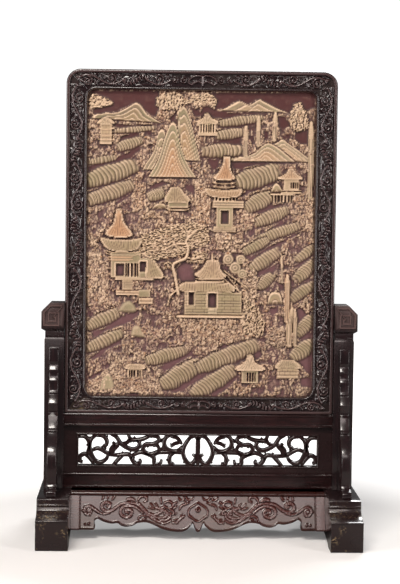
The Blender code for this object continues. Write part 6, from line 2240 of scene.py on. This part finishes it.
@dataclass
class Frets:
    """The square spirals that stand up on the front faces of the two finials."""

    finish: Rosewood

    def ridge(self, line: Line) -> tuple[list, list]:
        """Return the corners and faces of a flat-topped ridge along a line, mitred at its corners.

        Args:
            line: its middle line, across and up from the finial.

        Returns:
            The corners and the faces.
        """
        places = [Vector((x, z)) for x, z in line]
        loops = []
        for number, place in enumerate(places):
            before = (place - places[number - 1]).normalized() if number else None
            after = (places[number + 1] - place).normalized() if number + 1 < len(places) else None
            ways = [way for way in (before, after) if way is not None]
            normal = sum((Vector((-way.y, way.x)) for way in ways), Vector((0.0, 0.0))).normalized()
            reach = FRET_WIDTH / 2 / max(normal.dot(Vector((-ways[0].y, ways[0].x))), 0.4)
            loop = []
            for side, y in ((-1.0, 0.3), (-1.0, -FRET_RISE * 0.6), (-0.7, -FRET_RISE), (0.7, -FRET_RISE),
                    (1.0, -FRET_RISE * 0.6), (1.0, 0.3)):
                spot = place + normal * reach * side
                loop.append((spot.x, FINIAL_FACE + y, spot.y))
            loops.append(loop)
        return loft(loops, ring=True)

    def build(self) -> Object:
        """Build both spirals as one piece.

        Returns:
            The piece.
        """
        points, faces = [], []
        for hand in (-1, 1):
            line = [(hand * (FINIAL_CENTRE[0] - x), FINIAL_CENTRE[1] + z) for x, z in FRET]
            new_points, new_faces = self.ridge(line)
            faces += [[len(points) + n for n in face] for face in new_faces]
            points += new_points
        count = len(points)
        # The frets take dust and the lighter edge colour, which is wear and a painted highlight.
        item = make_piece("finial_frets", points, faces, {"recess": np.full(count, 1.0),
            "rubbed": np.full(count, 0.8)})
        point_outwards(item)
        dress(item, self.finish.material(), "dark_rosewood")
        return item


@dataclass
class Joinery:
    """The plain members of the stand: posts, feet, rails and spandrels, with rounded edges."""

    neck_mm: tuple[float, float] = (281.5, 294.6)
    upright: Rosewood = field(default_factory=lambda: Rosewood(Grain.ALONG_Z, dust="#7A5F5A", dust_share=0.8,
        dust_patches=(0.0, 1.1)))
    lengthwise: Rosewood = field(default_factory=lambda: Rosewood(Grain.ALONG_X, body="#1B0D0D",
        streak="#35191A"))
    foot_wood: Rosewood = field(default_factory=lambda: Rosewood(Grain.ALONG_Y, body="#1C1313", scuffs=True))

    def settle(self, item: Object) -> None:
        """Give a post the full neck of the real one, and dust on its square head.

        Args:
            item: the post.
        """
        data = item.data
        neck_low, neck_high = self.neck_mm
        shoulder = [v.co.x for v in data.vertices if 0.2 < v.co.z < neck_low * MM - 0.001]
        middle, half = (min(shoulder) + max(shoulder)) / 2, (max(shoulder) - min(shoulder)) / 2
        dust = np.zeros(len(data.vertices))
        for number, vertex in enumerate(data.vertices):
            if neck_low * MM < vertex.co.z < neck_high * MM:
                beside_groove = abs(vertex.co.y) < 0.005
                for axis, centre, reach in ((0, middle, half), (1, 0.0, 0.019)):
                    away = vertex.co[axis] - centre
                    if abs(away) > reach * 0.25 and not beside_groove:
                        vertex.co[axis] = centre + math.copysign(max(abs(away), reach * 0.93), away)
            dust[number] = 0.65 if vertex.co.z > neck_high * MM else 0.0
        data.attributes.new("recess", "FLOAT", "POINT").data.foreach_set("value", dust)

    def member(self, node: str, name: str, round_mm: float, finish: Material) -> Object:
        """Build one member from its solid, with its edges rounded.

        Args:
            node: the solid's name.
            name: the piece's name.
            round_mm: the width of the rounding.
            finish: its wood.

        Returns:
            The piece.
        """
        item = copied(node, name)
        soften(item, round_mm)
        if node.startswith("post"):
            self.settle(item)
        dress(item, finish, "dark_rosewood", node)
        return item

    def build(self) -> None:
        """Build every plain member."""
        upright, lengthwise, foot_wood = (f.material() for f in (self.upright, self.lengthwise, self.foot_wood))
        for hand in ("left", "right"):
            self.member(f"post_{hand}", f"post_{hand}_polished", 0.25, upright)
            self.member(f"foot_{hand}", f"foot_{hand}_polished", 0.8, foot_wood)
            for end in ("front", "back"):
                self.member(f"spandrel_{hand}_{end}", f"spandrel_{hand}_{end}_polished", 0.9, upright)
        for level in ("upper", "lower"):
            self.member(f"{level}_rail", f"{level}_rail_polished", 0.5, lengthwise)
        Frets(self.upright).build()


APRON_HALF, APRON_TOP, APRON_DROP, APRON_FACE, APRON_DEEP, APRON_LEAN = 179.2, 60.0, 50.0, -33.5, 10.0, 0.4
APRON_STRIP = 13.0
# in thousandths: place across from the middle, drop of the edge there, place across at the top
APRON_EDGE = (
    (0, 960, 0), (14, 940, 14), (26, 860, 26), (42, 730, 42), (57, 800, 57), (93, 910, 93), (138, 956, 138),
    (218, 936, 218), (289, 872, 289), (360, 760, 360), (414, 710, 414), (476, 734, 476), (512, 800, 512),
    (565, 832, 565), (605, 800, 605), (632, 738, 632), (680, 750, 680), (743, 700, 743), (787, 628, 782),
    (806, 660, 806), (813, 700, 830), (812, 760, 850), (808, 820, 872), (811, 880, 895), (824, 916, 915),
    (900, 916, 950), (1000, 916, 1000),
)
# width in mm, then places in tenths of a millimetre: across from the middle, up
APRON_STROKES = (
    (4.4, (1531, 384, 1557, 400, 1544, 419, 1508, 395, 1519, 353, 1571, 353, 1602, 405, 1579, 449, 1527, 455,
     1456, 415, 1391, 376, 1315, 358, 1245, 375)),
    (5.0, (1282, 462, 1252, 451, 1235, 479, 1271, 506, 1323, 506, 1358, 467, 1345, 418, 1292, 391, 1222, 402,
     1153, 446, 1084, 491, 990, 506, 897, 500)),
    (4.8, (897, 500, 826, 470, 767, 416, 708, 356, 637, 302, 555, 259, 473, 232)),
    (1.6, (836, 509, 777, 454, 702, 380)),
    (4.8, (988, 376, 1018, 387, 1007, 414, 960, 415, 932, 377, 959, 333, 1017, 316, 1075, 343, 1094, 397, 1060,
     447, 990, 469, 908, 459, 837, 421, 778, 372)),
    (3.2, (1348, 555, 1331, 596)), (3.2, (1278, 561, 1263, 605)), (3.4, (1213, 548, 1173, 600)),
    (4.6, (1003, 552, 944, 558, 891, 533)),
    (3.6, (757, 523, 726, 540, 728, 576, 769, 595, 816, 584, 845, 553, 862, 509)),
    (3.0, (841, 284, 824, 322, 778, 336, 714, 329)), (2.8, (780, 288, 733, 299)),
    (4.4, (685, 367, 626, 346, 556, 368, 498, 407, 451, 390, 428, 347, 474, 314, 544, 308, 626, 324)),
    (3.0, (476, 511, 417, 528, 364, 501, 376, 451, 434, 440, 481, 473, 473, 509)), (3.0, (674, 499, 621, 444)),
    (3.0, (697, 444, 615, 425)), (3.0, (529, 566, 516, 500)), (2.6, (604, 499, 569, 461)),
    (3.0, (358, 457, 335, 501, 294, 518)), (2.8, (352, 433, 302, 463)), (4.6, (592, 444, 533, 432, 487, 451)),
    (3.0, (405, 424, 346, 391, 352, 356, 404, 378)), (3.8, (532, 275, 450, 279, 392, 323, 396, 363)),
    (3.0, (497, 235, 433, 248, 375, 281)), (3.8, (357, 249, 298, 249, 252, 299, 191, 337)),
    (2.4, (334, 282, 285, 291)), (2.4, (246, 331, 223, 361)), (2.8, (277, 573, 241, 544, 200, 557, 216, 595)),
    (2.8, (171, 592, 148, 552, 95, 552, 60, 582)), (3.2, (264, 422, 241, 469, 183, 491, 124, 513)),
    (2.4, (194, 537, 169, 500)),
    (3.0, (0, 262, 42, 281, 86, 314, 126, 340, 138, 387, 112, 442, 54, 481, 0, 516)),
    (2.4, (0, 446, 28, 417, 0, 388)),
)
LIP = (
    (-13.0, 60.0), (-34.4, 60.0), (-35.5, 60.6), (-36.0, 61.8), (-35.9, 63.2), (-35.3, 64.8), (-34.2, 66.1),
    (-32.8, 66.8), (-31.5, 67.0), (-13.0, 67.0),
)


@dataclass
class Aprons:
    """The slanting aprons between the feet, carved at the front and plain at the back."""

    finish: Rosewood = field(default_factory=lambda: Rosewood(Grain.ALONG_X, body="#2E1211", streak="#481D18",
        rubbed="#572C26", dust_share=0.2))
    carving_mm: float = 2.3

    def edge(self, step: float) -> tuple[Array, Array]:
        """Return places along the scalloped edge and the places above them at the top.

        Args:
            step: the distance between places.

        Returns:
            The places on the edge and the places at the top, as many.
        """
        half = [(x / 1000 * APRON_HALF, APRON_TOP - APRON_DROP * (drop / 1000)) for x, drop, _ in APRON_EDGE]
        tops = [(x / 1000 * APRON_HALF, APRON_TOP) for _, _, x in APRON_EDGE]
        low = mirrored(smooth(half, 6))[::-1][:-1] + smooth(half, 6)
        high = mirrored(smooth(tops, 6))[::-1][:-1] + smooth(tops, 6)
        low_line, high_line = np.array(low), np.array(high)
        lengths = np.concatenate([[0], np.cumsum(np.linalg.norm(np.diff(low_line, axis=0), axis=1))])
        places = np.linspace(0, lengths[-1], round(lengths[-1] / step))
        return tuple(np.stack([np.interp(places, lengths, line[:, axis]) for axis in (0, 1)], -1)
            for line in (low_line, high_line))

    def carved(self) -> Relief:
        """Return the carved field: vines, volutes, two knots of dragon and a heart in the middle.

        Returns:
            The field.
        """
        relief = Relief(-APRON_HALF - 1, APRON_HALF + 1, 8.0, 62.0, 0.5)
        for width, points in APRON_STROKES:
            line = smooth(pairs(points, 10.0))
            for stroke in (line, mirrored(line)):
                relief.stroke(stroke, width * 0.95, self.carving_mm, 0.5, (0.8, 0.5),
                    groove=0.35 if width > 3.5 else 0.0)
                if width > 4.3:
                    self.ribs(relief, stroke, width)
        for hand in (-1, 1):
            for x, z, radius in ((153.5, 22.5, 2.2), (158.5, 22.0, 1.8), (162.5, 40.0, 1.4), (47.0, 36.0, 2.0),
                    (36.0, 41.0, 1.6), (31.0, 36.0, 1.5)):
                relief.bud((hand * x, z), radius, self.carving_mm * 0.9)
        return relief

    def ribs(self, relief: Relief, line: list[Point], width: float) -> None:
        """Cut small nicks across a wide stroke.

        Args:
            relief: the field.
            line: the middle line of the stroke.
            width: its width.
        """
        for place in range(3, len(line) - 2, 3):
            (x0, z0), (x1, z1) = line[place - 1], line[place]
            length = math.hypot(x1 - x0, z1 - z0) or 1.0
            away = (-(z1 - z0) / length * width * 0.42, (x1 - x0) / length * width * 0.42)
            relief.groove([(x1, z1), (x1 + away[0], z1 + away[1])], 0.9, 0.5, 0.3)

    def board(self, relief: Relief | None, step: float, rows: int) -> tuple[Array, list, Array]:
        """Return the corners, faces and heights of a closed board with its carving.

        Args:
            relief: the carving, or None for a plain board.
            step: the distance between places along it.
            rows: the number of rows from top to edge.

        Returns:
            The corners, the faces and the height of the carving at each corner.
        """
        low, high = self.edge(step)
        count = len(low)
        loops, heights = [], []
        for row in range(rows + 1):
            share = row / rows
            line = high + (low - high) * share
            height = np.zeros(count) if relief is None else relief.sample(line[:, 0], line[:, 1])
            away = np.linalg.norm(low - line, axis=1)
            border = 0.9 * np.exp(-((away - 2.4) / 0.7) ** 2) if relief is not None else 0.0
            from_end = APRON_HALF - np.abs(line[:, 0])
            strip = 1 - ramp(from_end, APRON_STRIP - 1.2, APRON_STRIP - 0.6)
            groove = np.exp(-((from_end - APRON_STRIP) / 0.6) ** 2)
            height = np.maximum(height, border) * (1 - strip) + 1.6 * strip - 0.8 * groove
            height = height - 0.9 * (1 - ramp(away, 0.0, 1.1))
            face = APRON_FACE - height - (APRON_TOP - line[:, 1]) * APRON_LEAN
            loops.append(np.stack([line[:, 0], face, line[:, 1]], -1))
            heights.append(height)
        for line in (low, high):
            deep = APRON_FACE + APRON_DEEP - (APRON_TOP - line[:, 1]) * APRON_LEAN
            loops.append(np.stack([line[:, 0], deep, line[:, 1]], -1))
            heights.append(np.zeros(count))
        faces = quads(len(loops), count, ring=True).tolist()
        for end in (0, count - 1):
            faces.append([row * count + end for row in range(len(loops))])
        return np.vstack(loops), faces, np.concatenate(heights)

    def build_one(self, end: str, material: Material) -> Object:
        """Build one apron with its lip.

        Args:
            end: "front" for the carved one or "back" for the plain one.
            material: the wood.

        Returns:
            The piece.
        """
        carving = self.carved() if end == "front" else None
        points, faces, heights = self.board(carving, 0.75 if carving else 1.6, 58 if carving else 6)
        lip = [[(x, y, z) for y, z in LIP] for x in (-APRON_HALF, APRON_HALF)]
        lip_points, lip_faces = loft(lip, ring=True)
        first = len(points)
        points = np.vstack([points, np.array(lip_points)])
        faces += [[first + n for n in face] for face in lip_faces]
        if end == "back":
            points[:, 1] *= -1
        rest = np.zeros(len(lip_points))
        recess = np.concatenate([1 - ramp(heights, 0.1, 0.8), rest])
        # The carving's tops and the lip take the lighter edge colour: wear and a painted highlight.
        rubbed = np.concatenate([ramp(heights, 1.0, self.carving_mm), rest + 0.5])
        item = make_piece(f"apron_{end}_carved", points, faces, {"recess": recess, "rubbed": rubbed})
        point_outwards(item)
        shade_smooth(item, 45.0)
        dress(item, material, "dark_rosewood", f"apron_{end}")
        return item

    def build(self) -> None:
        """Build both aprons."""
        material = self.finish.material()
        for end in ("front", "back"):
            self.build_one(end, material)


# Studio

@dataclass(frozen=True)
class View:
    """The photograph's viewing angle."""

    place: tuple[float, float, float] = (-0.0761, -2.4856, 0.5118)
    yaw: float = 0.0307
    pitch: float = 0.0661
    roll: float = 0.0125
    lens: float = 107.92

    def build(self) -> None:
        """Set up the camera."""
        data = bpy.data.cameras.new("view")
        data.lens = self.lens
        data.sensor_width = 36.0
        data.sensor_fit = "AUTO"
        data.clip_end = 60.0
        item = new_object("view", data)
        ahead = Vector((math.sin(self.yaw) * math.cos(self.pitch), math.cos(self.yaw) * math.cos(self.pitch),
            -math.sin(self.pitch)))
        right = Vector((math.cos(self.yaw), -math.sin(self.yaw), 0.0))
        up = right.cross(ahead)
        turned_right = right * math.cos(self.roll) + up * math.sin(self.roll)
        turned_up = up * math.cos(self.roll) - right * math.sin(self.roll)
        matrix = item.matrix_world.to_3x3()
        for axis, direction in enumerate((turned_right, turned_up, -ahead)):
            matrix.col[axis] = direction
        item.matrix_world = matrix.to_4x4()
        item.location = self.place
        bpy.context.scene.camera = item


@dataclass(frozen=True)
class Softbox:
    """One rectangular light, aimed at a place."""

    name: str
    place: tuple[float, float, float]
    aim: tuple[float, float, float]
    size: tuple[float, float]
    watts: float
    colour: str = "#FFFFFF"

    def build(self) -> None:
        """Set up the light."""
        data = bpy.data.lights.new(self.name, "AREA")
        data.shape = "RECTANGLE"
        data.size, data.size_y = self.size
        data.energy = self.watts
        data.color = linear(self.colour)[:3]
        item = new_object(self.name, data)
        item.location = self.place
        item.rotation_euler = (Vector(self.aim) - Vector(self.place)).to_track_quat("-Z", "Y").to_euler()


SOFTBOXES = (
    Softbox("key", (-0.55, -1.7, 2.2), (0.0, 0.0, 0.4), (1.0, 0.6), 44.0, "#FFF8F0"),
    Softbox("apron_light", (-0.2, -2.0, 1.35), (0.0, 0.0, 0.05), (1.6, 0.35), 6.6, "#FFF0EC"),
    Softbox("left_strip", (-1.35, -1.15, 0.65), (0.0, 0.0, 0.33), (0.45, 1.5), 19.0, "#FFF7F4"),
    Softbox("right_strip", (1.3, -1.2, 0.6), (0.0, 0.0, 0.3), (0.25, 1.5), 14.0, "#FFF7F4"),
    Softbox("back_light", (0.9, 1.9, 1.9), (0.0, 0.0, 0.3), (1.2, 0.8), 34.0),
)


def build_studio() -> None:
    """Set up the camera, the lights, the white world and the floor.

    The room in front of the screen is dim, so that the dark wood shows the softboxes alone.
    """
    View().build()
    for box in SOFTBOXES:
        box.build()
    world = bpy.data.worlds.new("studio")
    world.use_nodes = True
    backdrop = world.node_tree.nodes["Background"]
    backdrop.inputs["Color"].default_value = linear("#FFFFFF")
    add = partial(add_node, world.node_tree)
    seen = add("ShaderNodeLightPath").outputs["Is Camera Ray"]
    strength = add("ShaderNodeMapRange", {"To Min": 0.07, "To Max": 1.1}, {"Value": seen}).outputs[0]
    connect([(strength, backdrop.inputs["Strength"])])
    bpy.context.scene.world = world
    bpy.context.scene.view_settings.view_transform = "Standard"
    points = [(x, y, -0.2) for x in (-3000.0, 3000.0) for y in (-420.0, 3000.0)]
    floor = make_piece("white_card_floor", points, [(0, 2, 3, 1)])
    floor.data.materials.append(PaleFloor().material())


def main() -> None:
    """Build every piece in order."""
    logging.basicConfig(level=logging.INFO, format="%(message)s")
    StonePanel().build()
    CarvedFrame().build()
    Openwork().build()
    Joinery().build()
    Aprons().build()
    build_studio()


if __name__ == "__main__":
    main()
